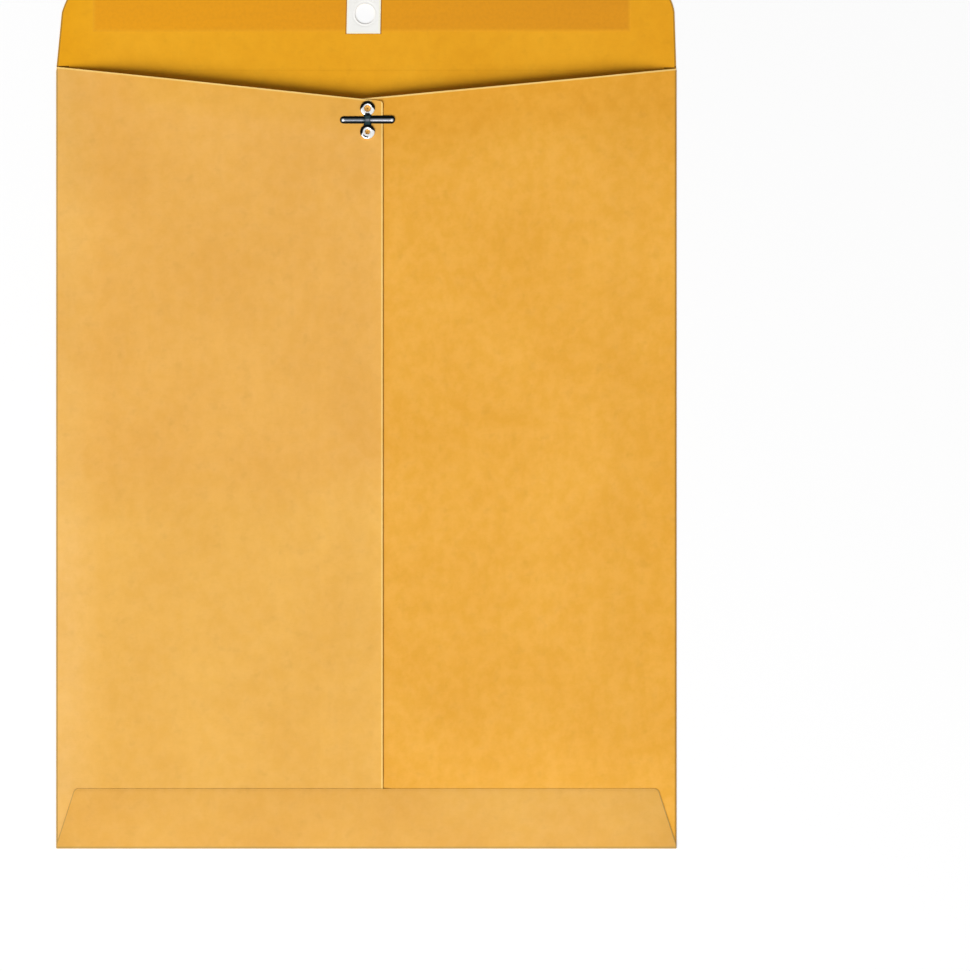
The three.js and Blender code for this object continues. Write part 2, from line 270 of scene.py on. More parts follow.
def map_sheet(mesh, outward=(0, 0)):
    """Stores each point's place on the sheet; heights count along the outward direction."""
    uv = mesh.uv_layers.new(name="sheet")
    for loop in mesh.loops:
        x, y, z = mesh.vertices[loop.vertex_index].co
        uv.data[loop.index].uv = (x + outward[0] * z, y + outward[1] * z)


def place(name, mesh, crease=PAPER_CREASE):
    """Shades the mesh smooth up to a crease angle, in degrees, and adds it to the scene."""
    mesh.shade_smooth()
    mesh.set_sharp_from_angle(angle=math.radians(crease))
    piece = bpy.data.objects.new(name, mesh)
    bpy.context.collection.objects.link(piece)
    return piece


def dress(piece, *materials):
    """Gives the piece its finishes, in the order of their numbers on the faces."""
    for material in materials:
        piece.data.materials.append(material)


print("sheets are shaded smooth up to", PAPER_CREASE, "degrees")

# %% [markdown]
# ## A sheet of paper
# A panel shows more than one finish. The knife opens the fibres, so the cut side looks paler.
# A narrow strip along a free edge is painted paler still, partly as those fibres and partly
# as a painted highlight. A fold is darker, and a few strips are painted dark as shadows.
# They could be painted by a mask, but each cell of the grid can simply name its finish, and
# then the strips stay sharp.

# %% Sheet builder
# The last finish is a painted shadow line beside the seam.
FACE, UNDERSIDE, CUT_SIDE, EDGE, FOLD, DARK_SEAM_LINE = range(6)


def sheet(name, grid, under, thickness, trim=None):
    """grid[i][j] is a point (x, y), and trim(i, j) the finish of a cell of the upper face."""
    across, along = len(grid), len(grid[0])
    points = []
    for lift in (0.0, thickness):
        points += [(x, y, under(x, y) + lift) for column in grid for x, y in column]
    faces = shell_faces(across, along)
    finish = []
    for i in range(across - 1):
        for j in range(along - 1):
            finish += [trim(i, j) if trim else FACE, UNDERSIDE]
    finish += [CUT_SIDE] * (len(faces) - len(finish))
    mesh = mesh_from(name, points, faces)
    mesh.polygons.foreach_set("material_index", finish)
    map_sheet(mesh)
    return place(name, mesh)


print("finishes of a sheet:", DARK_SEAM_LINE + 1)

# %% [markdown]
# ## Punched holes
# A steel punch goes through the flap, the patch and the gum in one stroke. The holes could be
# built into the grids, but a Boolean with a round cutter is what the punch does, and it
# leaves the cut side's finish in the hole.

# %% Punch
PUNCH_SIDES = 48
PUNCH_LENGTH = 40 * MM


def punch(piece, centres, radius):
    """Cuts round holes straight through a sheet."""
    cutter_mesh = bpy.data.meshes.new("punch")
    work = bmesh.new()
    for x, y in centres:
        made = bmesh.ops.create_cone(
            work, cap_ends=True, segments=PUNCH_SIDES,
            radius1=radius, radius2=radius, depth=PUNCH_LENGTH,
        )
        bmesh.ops.translate(work, verts=made["verts"], vec=(x, y, 0))
    for face in work.faces:
        face.material_index = CUT_SIDE
    work.to_mesh(cutter_mesh)
    work.free()
    cutter = bpy.data.objects.new("punch", cutter_mesh)
    for slot in piece.material_slots:
        cutter_mesh.materials.append(slot.material)
    bpy.context.collection.objects.link(cutter)
    cut = piece.modifiers.new("punch", "BOOLEAN")
    cut.operation = "DIFFERENCE"
    cut.solver = "EXACT"
    cut.object = cutter
    depsgraph = bpy.context.evaluated_depsgraph_get()
    result = bpy.data.meshes.new_from_object(piece.evaluated_get(depsgraph))
    piece.modifiers.clear()
    piece.data = result
    bpy.data.objects.remove(cutter)
    result.set_sharp_from_angle(angle=math.radians(PAPER_CREASE))


print("the punch is", round(2 * HOLE_RADIUS / MM, 1), "mm wide")

# %% [markdown]
# ## Colours as they are seen
# The colours are written as a screen shows them and turned into the linear values that a
# shader works with. A stain is written as a factor on the paper's colour instead, because
# dirt and fading change whatever colour lies under them.

# %% Colour helper
def tone(red, green, blue):
    def linear(value):
        share = value / 255
        return share / 12.92 if share <= 0.04045 else ((share + 0.055) / 1.055) ** 2.4

    return (linear(red), linear(green), linear(blue))


CLEAN = (1, 1, 1)
print("mid grey in linear light:", round(tone(128, 128, 128)[0], 3))

# %% [markdown]
# ## Building blocks of the materials
# Every finish here is a small tree of shader nodes: noise makes a pattern, a colour scale
# turns it into tones, and mixing lays one over the other. Nodes can be added by hand in the
# editor, but a few helpers keep each recipe short enough to read like one.

# %% A node, an empty tree and a new finish
def add_node(tree, kind, inputs=None, **settings):
    """Adds a shader node; an input takes a value, or the socket that feeds it."""
    made = tree.nodes.new("ShaderNode" + kind)
    for setting, value in settings.items():
        setattr(made, setting, value)
    for name, value in (inputs or {}).items():
        if isinstance(value, bpy.types.NodeSocket):
            tree.links.new(value, made.inputs[name])
        else:
            made.inputs[name].default_value = value
    return made


def cleared(owner):
    """The empty node tree of a material or a world."""
    owner.use_nodes = True
    owner.node_tree.nodes.clear()
    return owner.node_tree


def new_finish(name, inputs):
    """A material with one shader, whose even values sit on its own sockets."""
    material = bpy.data.materials.new(name)
    tree = cleared(material)
    shader = add_node(tree, "BsdfPrincipled", inputs)
    add_node(tree, "OutputMaterial", {"Surface": shader.outputs["BSDF"]})
    return material, tree, shader


print("materials that came with the frame:", len(bpy.data.materials))

# %% Patterns, tones and stains
def sheet_place(tree):
    """The place on the sheet in metres, which moves with the paper."""
    return add_node(tree, "UVMap", uv_map="sheet").outputs["UV"]


def grain(tree, place_on, swells, detail=2.0, rough=0.5, turn=0.0):
    """Noise with so many swells to the metre; two numbers draw it out one way."""
    if isinstance(swells, tuple):
        drawn = {"Vector": place_on, "Scale": (*swells, 1), "Rotation": (0, 0, turn)}
        place_on = add_node(tree, "Mapping", drawn).outputs["Vector"]
        swells = 1
    inputs = {"Vector": place_on, "Scale": swells, "Detail": detail, "Roughness": rough}
    return add_node(tree, "TexNoise", inputs).outputs["Fac"]


def colour_scale(tree, factor, stops):
    """Tones along a factor, each stop being a place from 0 to 1 and a tone."""
    made = add_node(tree, "ValToRGB", {"Fac": factor})
    elements = made.color_ramp.elements
    while len(elements) < len(stops):
        elements.new(0.5)
    for element, (at, colour) in zip(elements, stops):
        element.position = at
        element.color = (*colour, 1)
    return made.outputs["Color"]


def mixed(tree, factor, first, second, blend="MULTIPLY"):
    """Lays a second colour over the first; multiplying darkens as a stain does."""
    if isinstance(second, tuple):
        second = (*second, 1)
    inputs = {"Factor": factor, "A": first, "B": second}
    return add_node(tree, "Mix", inputs, data_type="RGBA", blend_type=blend).outputs["Result"]


def stained(tree, base, factor, stops, share=1.0):
    """Multiplies the colour by a scale of stains."""
    return mixed(tree, share, base, colour_scale(tree, factor, stops))


print("a clean place keeps its colour times", CLEAN)

# %% Places, relief and gloss
def between(tree, value, start, end, **settings):
    """0 where the value is at start and 1 where it is at end, and level beyond them."""
    inputs = {"Value": value, "From Min": start, "From Max": end}
    return add_node(tree, "MapRange", inputs, **settings).outputs["Result"]


def along_sheet(tree, uv, axis, start, end):
    """0 at start and 1 at end, along the X or Y of the sheet."""
    split = add_node(tree, "SeparateXYZ", {0: uv})
    return between(tree, split.outputs[axis], start, end)


def combined(tree, operation, first, second):
    """Joins two factors by an operation such as MULTIPLY or MAXIMUM."""
    return add_node(tree, "Math", {0: first, 1: second}, operation=operation).outputs[0]


def surface(tree, shader, base, relief, strength, depth):
    """Gives the shader its colour and a bump of so many metres."""
    bump = add_node(tree, "Bump", {"Strength": strength, "Distance": depth, "Height": relief})
    tree.links.new(base, shader.inputs["Base Color"])
    tree.links.new(bump.outputs["Normal"], shader.inputs["Normal"])


def uneven_gloss(tree, shader, factor, glossy, matt):
    """Lets the roughness follow a pattern between two values."""
    stops = [(0.2, (glossy,) * 3), (0.8, (matt,) * 3)]
    tree.links.new(colour_scale(tree, factor, stops), shader.inputs["Roughness"])


print("made helpers for places, relief and gloss")

# %% [markdown]
# ## Tints and painted sheen
# A painted sheen pales and blues the sheet beside the left fold, most of all in the lower half
# of the back. Painted light pales the right panel beside its fold, and the lips of the throat
# are tinted darker. These are broad changes over a whole panel, so each one is a colour
# scale along one direction of the sheet, and every panel has its own function for them.

# %% Tints and painted sheen of the left side
# A slightly darker band a little above the foot, and a tint from the middle up.
FOOT_TONES = [
    (0.060, CLEAN),
    (0.080, (0.95, 0.95, 0.95)),
    (0.15, CLEAN),
    (0.42, CLEAN),
    (0.50, (0.98, 0.94, 0.95)),
]
# Where the painted sheen pales the sheet beside the left fold.
PALE_START = LEFT_FOLD + 22 * MM
FOLD_MARGIN = LEFT_FOLD + 6 * MM
PALE_TOP = 0
PALE_FULL = -40 * MM


def foot_tint_and_sheen(tree, uv, base):
    """Tints along the height, and a painted sheen that pales and blues the sheet beside the left
    fold, most of all in its lower half.
    """
    base = stained(tree, base, along_sheet(tree, uv, "Y", BOTTOM_FOLD, TOP_FOLD), FOOT_TONES)
    low = along_sheet(tree, uv, "Y", PALE_TOP, PALE_FULL)
    beside = along_sheet(tree, uv, "X", PALE_START, FOLD_MARGIN)
    base = mixed(tree, combined(tree, "MULTIPLY", low, beside), base, (1.04, 1.05, 1.26))
    return mixed(tree, beside, base, (0.95, 0.99, 1.08))


def below_lip(tree, uv, fold_x, depth):
    """0 at a back panel's slanted top edge and 1 at this depth below it."""
    slope = THROAT_DEPTH / (THROAT_X - fold_x)
    lip = TOP_FOLD + slope * fold_x
    down = add_node(tree, "VectorMath", {0: uv, 1: (slope, 1, 0)}, operation="DOT_PRODUCT")
    return between(tree, down.outputs["Value"], lip, lip - depth)


LEFT_LIP_TONES = [(0.0, (0.97, 0.95, 0.74)), (0.5, (0.975, 0.965, 0.78)), (1.0, CLEAN)]
LEFT_LIP_DEPTH = 18 * MM
BROWN_START = LEFT_FOLD + 45 * MM


def left_tint_and_sheen(tree, uv, base):
    """The left panel takes the front's tints and painted sheen, and is tinted darker and yellower
    along its lip.
    """
    base = foot_tint_and_sheen(tree, uv, base)
    down = below_lip(tree, uv, LEFT_FOLD, LEFT_LIP_DEPTH)
    browned = stained(tree, base, down, LEFT_LIP_TONES)
    inward = along_sheet(tree, uv, "X", PALE_START, BROWN_START)
    return mixed(tree, inward, base, browned, "MIX")


print("the left panel pales over", round((PALE_START - LEFT_FOLD) / MM), "mm beside its fold")

# %% Tints and painted light of the right panel and of the flap
RIGHT_LIP_TONES = [
    (0.0, (0.93, 0.87, 0.56)),
    (0.35, (0.93, 0.88, 0.62)),
    (0.6, (0.965, 0.95, 0.84)),
    (1.0, CLEAN),
]
RIGHT_LIP_DEPTH = 45 * MM
# Width of the painted light beside the right fold.
RIGHT_PALE = 28 * MM
YELLOW_START = LEFT_FOLD + 30 * MM
FLAP_BROWN_START = -20 * MM
FLAP_BROWN_FULL = 50 * MM


def right_tint_and_light(tree, uv, base):
    """The right panel is painted paler beside its fold, as painted light against the shade of its
    bow, and browner along its lip.
    """
    beside = along_sheet(tree, uv, "X", RIGHT_FOLD - RIGHT_PALE, RIGHT_FOLD)
    base = mixed(tree, beside, base, (1.07, 1.06, 1.0))
    down = below_lip(tree, uv, RIGHT_FOLD, RIGHT_LIP_DEPTH)
    return stained(tree, base, down, RIGHT_LIP_TONES)


def flap_end_fade(tree, uv, base):
    """The flap's left end is a deeper yellow, and its right half a little browner."""
    beside = along_sheet(tree, uv, "X", YELLOW_START, FOLD_MARGIN)
    base = mixed(tree, beside, base, (0.985, 0.965, 0.40))
    rightward = along_sheet(tree, uv, "X", FLAP_BROWN_START, FLAP_BROWN_FULL)
    return mixed(tree, rightward, base, (0.972, 0.958, 1))


print("the lips are browned over", LEFT_LIP_DEPTH / MM, "and", RIGHT_LIP_DEPTH / MM, "mm")

# %% [markdown]
# ## Kraft paper
# Kraft pulp is unbleached, so the sheet is mottled: broad clouds where the pulp is denser, a
# fine formation of light and dark flecks, and long fibres that lie mostly one way. A picture
# of paper would blur close up and repeat, so noise at several scales is used instead, fixed
# to the sheet so that the pattern follows the flap when it folds.

# %% Recipe for kraft
CLOUDS = (16, 3.0, 0.6)
MOTTLE = ((165, 135), 4.0, 0.6)
SPECKS = (150, 2.0, 0.5)
FLECKS = (520, 3.0, 0.65)
FIBRES = ((260, 1900), 2.0, 0.6, 0.35)
SOFT_MOTTLE = [(0.38, (0.96, 0.94, 0.84)), (0.62, CLEAN)]
STRONG_MOTTLE = [(0.38, (0.94, 0.91, 0.66)), (0.62, CLEAN)]
SPECK_TONES = [(0.38, (1, 0.99, 0.93)), (0.60, CLEAN), (0.80, (0.94, 0.93, 0.90))]
FLECK_TONES = [(0.3, (0.985, 0.98, 0.965)), (0.6, CLEAN)]
FIBRE_TONES = [(0.30, (0.90, 0.87, 0.82)), (0.42, CLEAN)]
MOTTLE_SHARE = 0.85
FIBRE_SHARE = 0.25


def kraft(name, low, high, roughness=0.82, specular=0.25, mottles=SOFT_MOTTLE, fade=None):
    """Kraft between two tones, mottled, perhaps with broad tints, some of them painted light, with
    flecks and raised fibres.
    """
    gloss = {"Roughness": roughness, "Specular IOR Level": specular}
    material, tree, shader = new_finish(name, gloss)
    uv = sheet_place(tree)
    base = colour_scale(tree, grain(tree, uv, *CLOUDS), [(0.32, low), (0.68, high)])
    base = stained(tree, base, grain(tree, uv, *MOTTLE), mottles, MOTTLE_SHARE)
    if fade:
        base = fade(tree, uv, base)
    base = stained(tree, base, grain(tree, uv, *SPECKS), SPECK_TONES)
    base = stained(tree, base, grain(tree, uv, *FLECKS), FLECK_TONES)
    fibres = grain(tree, uv, *FIBRES)
    base = stained(tree, base, fibres, FIBRE_TONES, FIBRE_SHARE)
    surface(tree, shader, base, fibres, strength=0.15, depth=0.05 * MM)
    return material


print("layers of grain in the kraft:", len([CLOUDS, MOTTLE, SPECKS, FLECKS, FIBRES]))

# %% Papers of the envelope
kraft_outside = kraft("kraft_outside", tone(241, 182, 87), tone(249, 192, 97), fade=foot_tint_and_sheen)
kraft_left = kraft("kraft_outside_left", tone(241, 182, 87), tone(249, 192, 97), fade=left_tint_and_sheen)
kraft_right = kraft(
    "kraft_outside_right", tone(243, 176, 68), tone(250, 185, 79),
    mottles=STRONG_MOTTLE, fade=right_tint_and_light,
)
# The bottom flap's kraft is painted darker as shade, against the light that falls on its bow.
bottom_flap_shaded_paper = kraft("kraft_painted_shade_bottom_flap", tone(230, 171, 81), tone(237, 181, 90))
kraft_inside = kraft("kraft_inside", tone(241, 169, 22), tone(248, 178, 31), fade=flap_end_fade)
# The cut side's tone, which the strips along free edges also take as a painted highlight.
cut_and_highlight_paper = kraft(
    "kraft_edge_cut_and_highlight", tone(255, 210, 124), tone(255, 218, 136), roughness=0.9, specular=0.1
)
kraft_fold = kraft(
    "kraft_fold_edge", tone(194, 154, 84), tone(203, 163, 92), roughness=0.8
)
kraft_fold_right = kraft(
    "kraft_fold_right", tone(190, 138, 52), tone(199, 147, 60), roughness=0.8
)
kraft_flap_edge = kraft(
    "kraft_flap_edge", tone(188, 136, 38), tone(198, 146, 48), roughness=0.8, specular=0.2
)
# A painted shadow line beside the seam.
seam_shadow_paper = kraft(
    "kraft_painted_seam_shadow", tone(182, 124, 34), tone(192, 134, 44), roughness=0.7, specular=0.3
)
# A painted shadow at the two ends of the top fold.
crease_shadow_paper = kraft(
    "kraft_painted_crease_shadow", tone(112, 68, 10), tone(124, 78, 16), roughness=0.9, specular=0.1
)
print("paper finishes:", [m.name for m in bpy.data.materials if m.name.startswith("kraft")])

# %% [markdown]
# ## Front panel and closing flap, one sheet
# On the real envelope the flap is the front panel running on past the top fold. If they were
# two meshes, a gap would open at the fold when the flap swings, so they are one mesh here,
# and a narrow crease between them bends smoothly round the open mouth. Its inner side faces
# up in this pose, which is why the deeper yellow shows in the throat and on the flap.

# %% Outline of the flap
TAPER_LEFT = math.tan(math.radians(5.5))
TAPER_RIGHT = math.tan(math.radians(1.7))
FLAP_CORNER = 14.4 * MM
LEFT_CORNER = (0.30, 6.0 * MM)
RIGHT_CORNER = (0.12, 11.5 * MM)
round_start = FLAP_TIP - FLAP_CORNER


def flap_side(y, taper, corner):
    """How far the flap's side lies inside the side fold at height y."""
    lean, width = corner
    beyond = max(min(y, round_start) - TOP_FOLD, 0.0)
    into = max(y - round_start, 0.0)
    rounding = 1 - math.sqrt(max(1 - (into / FLAP_CORNER) ** 2, 0.0))
    return taper * beyond + lean * into + width * rounding


def flap_row(y, shares):
    """Points of one row, from the flap's or the panel's left side to its right side."""
    left = LEFT_FOLD + flap_side(y, TAPER_LEFT, LEFT_CORNER)
    right = RIGHT_FOLD - flap_side(y, TAPER_RIGHT, RIGHT_CORNER)
    return [(left + (right - left) * share, y) for share in shares]


print("the flap's tip draws in", round(flap_side(FLAP_TIP, TAPER_LEFT, LEFT_CORNER) / MM, 2),
      "mm on the left")

# %% Rows of the front and the flap
CUT_EDGE = 0.8 * MM
CREASE = 1.6 * MM
CREASE_MARGIN = 0.4 * MM
all_rows = steps(BOTTOM_FOLD, TOP_FOLD - 10 * MM, 60)
all_rows += [TOP_FOLD - d * MM for d in (7, 5.6, 4.8, 4, 3.3, 2.7, 2.3)]
crease_low = TOP_FOLD - CREASE - CREASE_MARGIN
crease_high = TOP_FOLD + CREASE + CREASE_MARGIN
all_rows += steps(crease_low, crease_high, 28)
all_rows += steps(TOP_FOLD + 5 * MM, round_start, 14)
round_rows = [round_start + FLAP_CORNER * rise for rise in quarter(12)[1:]]
all_rows += sorted(round_rows + [FLAP_TIP - CUT_EDGE * 0.6])
edge_share = CUT_EDGE / (RIGHT_FOLD - LEFT_FOLD)
shares = [0.0, edge_share] + steps(0.02, 0.98, 70) + [1 - edge_share, 1.0]
rows = [flap_row(y, shares) for y in all_rows]
front_grid = [[row[i] for row in rows] for i in range(len(shares))]
print("front and flap:", len(shares), "columns of", len(all_rows), "points")

# %% Front and flap mesh
SCORE_DEPTH = 0.05 * MM
SCORE_RISE = 4 * MM
SCORE_FALL = 0.8 * MM
SCORE_Y = TOP_FOLD - 2.0 * MM
# Columns, and heights above the top fold, of the shadow painted at the fold's two ends.
LEFT_CREASE_SHADE = {0: (0.1 * MM, 0.55 * MM), 1: (0.0, 0.3 * MM)}
RIGHT_CREASE_SHADE = {0: (-0.5 * MM, 0.15 * MM), 1: (-0.8 * MM, -0.35 * MM)}


def front_height(x, y):
    """The score leaves a low ridge, with a long slope inside and a short one to the flap."""
    reach = SCORE_RISE if y < SCORE_Y else SCORE_FALL
    return SCORE_DEPTH * smooth(1 - abs(y - SCORE_Y) / reach)


def front_trim(i, j):
    """A shadow is painted on the fold at its two ends, and the flap's cut edge is darker."""
    above = all_rows[j] - TOP_FOLD
    last = len(shares) - 2
    low, high = LEFT_CREASE_SHADE.get(i) or RIGHT_CREASE_SHADE.get(last - i) or (0, 0)
    if low <= above < high:
        return FOLD
    at_edge = i in (0, last) or j == len(all_rows) - 2
    return EDGE if at_edge and above > 0 else FACE


front_and_flap = sheet("front_and_flap_sheet", front_grid, front_height, PAPER, front_trim)
dress(front_and_flap, kraft_inside, kraft_outside, cut_and_highlight_paper, kraft_flap_edge, crease_shadow_paper)
punch(front_and_flap, [(HOLE_X, HOLE_Y)], HOLE_RADIUS)
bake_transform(front_and_flap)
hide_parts("front_panel", "closure_flap")
print("front and flap:", len(front_and_flap.data.vertices), "points")

# %% [markdown]
# ## Back panels
# The two side panels fold over the front panel and overlap at the seam, the left one on top.
# Their free top edges make the shallow V of the throat. Cut paper edges curl up a little as
# they dry, except where the clasp pins them down, and that small curl draws the dark line
# beneath the lip. The bright lip is the curl together with a painted highlight strip. Each
# curl is one more height added to the bow.

# %% Curl of the free edges
LIP_CURL = 0.5 * MM
LIP_WIDTH = 26 * MM
LIP_REACH = 62 * MM
SEAM_CURL = 0.5 * MM
SEAM_WIDTH = 6 * MM
PRONG_HOLD = 2.4 * MM
PRONG_RELEASE = 5 * MM
FLAP_RELEASE = 6 * MM


def curl(distance, height, width):
    return height * (1 - bow(distance, width))


def lip_curl(distance, x, fold_x):
    """The lip rises from the clasp outwards and comes down again to the side fold."""
    from_clasp = abs(x - THROAT_X)
    free = smooth(from_clasp / LIP_REACH) * smooth(abs(fold_x - x) / LIP_REACH)
    return curl(distance, LIP_CURL, LIP_WIDTH) * free


def seam_curl(distance, y):
    """The seam edge rises between the clasp and the bottom flap, which hold it down."""
    clear = smooth((abs(y - CLASP_Y) - PRONG_HOLD) / PRONG_RELEASE)
    held_by_flap = smooth((y - BOTTOM_FLAP_TOP) / FLAP_RELEASE)
    return curl(distance, SEAM_CURL, SEAM_WIDTH) * clear * held_by_flap


print("the left lip rises by", round(lip_curl(0, LEFT_FOLD / 2, LEFT_FOLD) / MM, 2), "mm")

# %% Heights of the left panel
CORNER_CURL = 0.12 * MM
CORNER_WIDTH = 2 * MM
CORNER_REACH = 5 * MM
SEAM_CORNER = 1.5 * MM


def corner_curl(distance, x):
    """The left panel's edge lifts a little where it lies on the right panel."""
    return curl(distance, CORNER_CURL, CORNER_WIDTH) * smooth((x - THROAT_X) / CORNER_REACH)


def left_top(x):
    """The left lip, with its rounded corner at the seam."""
    into = max(x - (SEAM - SEAM_CORNER), 0.0)
    return throat_edge(LEFT_FOLD, x) - corner_inset(into, SEAM_CORNER)


def left_under(x, y):
    lip = lip_curl(throat_edge(LEFT_FOLD, x) - y, x, LEFT_FOLD)
    lip += corner_curl(left_top(x) - y, x)
    return panel_under(x, y) + seam_lift(x) + lip + seam_curl(SEAM - x, y)


print("the left lip falls", round((TOP_FOLD - left_top(SEAM)) / MM, 2), "mm to the seam")

# %% Left back panel
FOLD_EDGE = 0.65 * MM
FOLD_NEXT = 1.2 * MM
LIP_EDGE = 0.75 * MM
SEAM_STRIP = 0.75 * MM
SAME = 1e-6
EYELET_SPREAD = 5.5 * MM
EYELET_HOLE = 2.0 * MM
eyelet_centres = [(CLASP_X, CLASP_Y + side * EYELET_SPREAD) for side in (-1, 1)]


def panel_rows(bottom, top):
    """Rows close together at the fold and at the lip, where the paper bends most."""
    near = [top - d * MM for d in (28, 24, 20, 16.5, 13.5, 11, 9, 7, 5.2, 3.8, 2.7, 1.8)]
    low = [bottom, bottom + FOLD_EDGE] + steps(bottom + FOLD_NEXT, bottom + BOTTOM_BOW, 18)
    middle = steps(bottom + BOTTOM_BOW + 4 * MM, top - 31 * MM, 62)
    return low + middle + near + [top - LIP_EDGE, top]


left_columns = (
    [LEFT_FOLD, LEFT_FOLD + FOLD_EDGE]
    + steps(LEFT_FOLD + FOLD_NEXT, LEFT_FOLD + LEFT_BOW, 18)
    + steps(LEFT_FOLD + LEFT_BOW + 3 * MM, HIDDEN_EDGE - LAYER_RAMP, 28)
    + steps(HIDDEN_EDGE - LAYER_RAMP * 0.8, SEAM - 3 * MM, 12)
    + [SEAM - SEAM_CORNER * (1 - rise) for rise in quarter(8)[:-1]]
    + [SEAM - SEAM_STRIP, SEAM]
)
left_columns = sorted(set(left_columns))
left_grid = [[(x, y) for y in panel_rows(BOTTOM_FOLD, left_top(x))] for x in left_columns]
last_row = len(left_grid[0]) - 2


def left_trim(i, j):
    """The cut edge, painted pale as a highlight, shows along the lip and the seam, and the fold on
    the two other sides.
    """
    lip = j == last_row and left_columns[i] < THROAT_X + CORNER_REACH
    if lip or left_columns[i] >= SEAM - SEAM_STRIP - SAME:
        return EDGE
    return FOLD if i == 0 or j == 0 else FACE


left_panel = sheet("left_back_sheet", left_grid, left_under, PAPER, left_trim)
dress(left_panel, kraft_left, kraft_inside, cut_and_highlight_paper, cut_and_highlight_paper, kraft_fold)
punch(left_panel, eyelet_centres, EYELET_HOLE)
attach(left_panel, "envelope_body")
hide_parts("left_back_panel")
print("left back panel:", len(left_panel.data.vertices), "points")

# %% [markdown]
# ## Right panel and the painted shadow of the seam
# The right panel runs on under the left one to a hidden edge. Beside the seam a dark line is
# painted on it as the shadow of the left panel's edge. It has no thickness to speak of, so it
# is one column of cells with a finish of its own.

# %% Right back panel
# Width of the shadow line painted beside the seam.
SEAM_SHADOW_WIDTH = 0.5 * MM
RIGHT_LIP_DROP = 0.85 * MM
RIGHT_LIP_REACH = 110 * MM
right_columns = (
    steps(HIDDEN_EDGE, SEAM, 8)
    + [SEAM + SEAM_SHADOW_WIDTH]
    + steps(SEAM + 0.4 * LAYER_RAMP, SEAM + LAYER_RAMP, 3)
    + steps(SEAM + 2 * LAYER_RAMP, RIGHT_FOLD - RIGHT_BOW, 28)
    + steps(RIGHT_FOLD - RIGHT_BOW + 2 * MM, RIGHT_FOLD - FOLD_NEXT, 20)
    + [RIGHT_FOLD - FOLD_EDGE, RIGHT_FOLD]
)


def right_top(x):
    """The right lip leaves the throat's corner and ends a little below the fold."""
    away = min(max(x - THROAT_X, 0.0) / RIGHT_LIP_REACH, 1.0)
    return throat_edge(RIGHT_FOLD, x) - RIGHT_LIP_DROP * away


def right_under(x, y):
    return panel_under(x, y) + lip_curl(right_top(x) - y, x, RIGHT_FOLD)


def right_trim(i, j):
    """The cut edge, painted pale as a highlight, shows along the lip, a painted shadow beside the
    seam, and the folds.
    """
    if j == last_row:
        return EDGE
    beside_seam = abs(right_columns[i] - SEAM) < SAME
    if beside_seam and right_grid[i][j][1] < left_top(SEAM):
        return DARK_SEAM_LINE
    return FOLD if i == len(right_columns) - 2 or j == 0 else FACE


right_grid = [[(x, y) for y in panel_rows(BOTTOM_FOLD, right_top(x))] for x in right_columns]
right_panel = sheet("right_back_sheet", right_grid, right_under, PAPER, right_trim)
right_finishes = [kraft_right, kraft_inside, cut_and_highlight_paper, cut_and_highlight_paper, kraft_fold_right]
dress(right_panel, *right_finishes, seam_shadow_paper)
punch(right_panel, eyelet_centres, EYELET_HOLE)
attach(right_panel, "envelope_body")
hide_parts("right_back_panel")
print("right back panel:", len(right_panel.data.vertices), "points")

# %% [markdown]
# ## Bottom flap
# The last flap to be folded is glued up over both side panels. Its ends are cut on a slant so
# that they don't show past the side folds, and its free edge lies on top of the back as a
# thin line. It follows the same heights as the panels, one layer up.

# %% Outline and height of the bottom flap
BOTTOM_FLAP_INSET = 8.5 * MM
BOTTOM_FLAP_FOOT = 2 * MM
BOTTOM_FLAP_CORNER = 1.6 * MM
EDGE_SETTLE = 1.5 * MM
GUM_FILM = SEAM_STEP - PAPER - 2 * LAYER_GAP
slant = BOTTOM_FLAP_INSET / (BOTTOM_FLAP_TOP - BOTTOM_FOLD - BOTTOM_FLAP_FOOT)


def bottom_flap_side(y):
    up = max(y - BOTTOM_FOLD - BOTTOM_FLAP_FOOT, 0.0)
    into = max(y - (BOTTOM_FLAP_TOP - BOTTOM_FLAP_CORNER), 0.0)
    return RIGHT_FOLD - slant * up - corner_inset(into, BOTTOM_FLAP_CORNER)


def back_top(x, y):
    """The upper side of the two back panels."""
    return panel_under(x, y) + seam_lift(x) + PAPER


def bottom_flap_under(x, y):
    """The flap lies on its gum, and its free edge settles onto the back past it."""
    past_gum = smooth(1 - (BOTTOM_FLAP_TOP - y) / EDGE_SETTLE)
    return back_top(x, y) + LAYER_GAP + (GUM_FILM + LAYER_GAP) * (1 - past_gum)


print("film of gum:", round(GUM_FILM / MM, 3), "mm")

# %% Bottom flap mesh
flap_heights = steps(BOTTOM_FOLD, BOTTOM_FLAP_TOP - BOTTOM_FLAP_CORNER, 14)
flap_heights += [BOTTOM_FLAP_TOP - BOTTOM_FLAP_CORNER * (1 - rise) for rise in quarter(8)[1:-1]]
flap_heights += [BOTTOM_FOLD + FOLD_EDGE, BOTTOM_FLAP_TOP - FOLD_EDGE * 0.7, BOTTOM_FLAP_TOP]
flap_heights = sorted(flap_heights)
flap_shares = [0.0, 0.0015] + steps(0.012, 0.988, 90) + [0.9985, 1.0]
bottom_grid = [
    [((2 * share - 1) * bottom_flap_side(y), y) for y in flap_heights] for share in flap_shares
]


# The free edge's strip is painted pale as a highlight, and the folds are darker.
def bottom_trim(i, j):
    if j == len(flap_heights) - 2:
        return EDGE
    return FOLD if i in (0, len(flap_shares) - 2) or j == 0 else FACE


bottom_flap = sheet("bottom_flap_sheet", bottom_grid, bottom_flap_under, PAPER, bottom_trim)
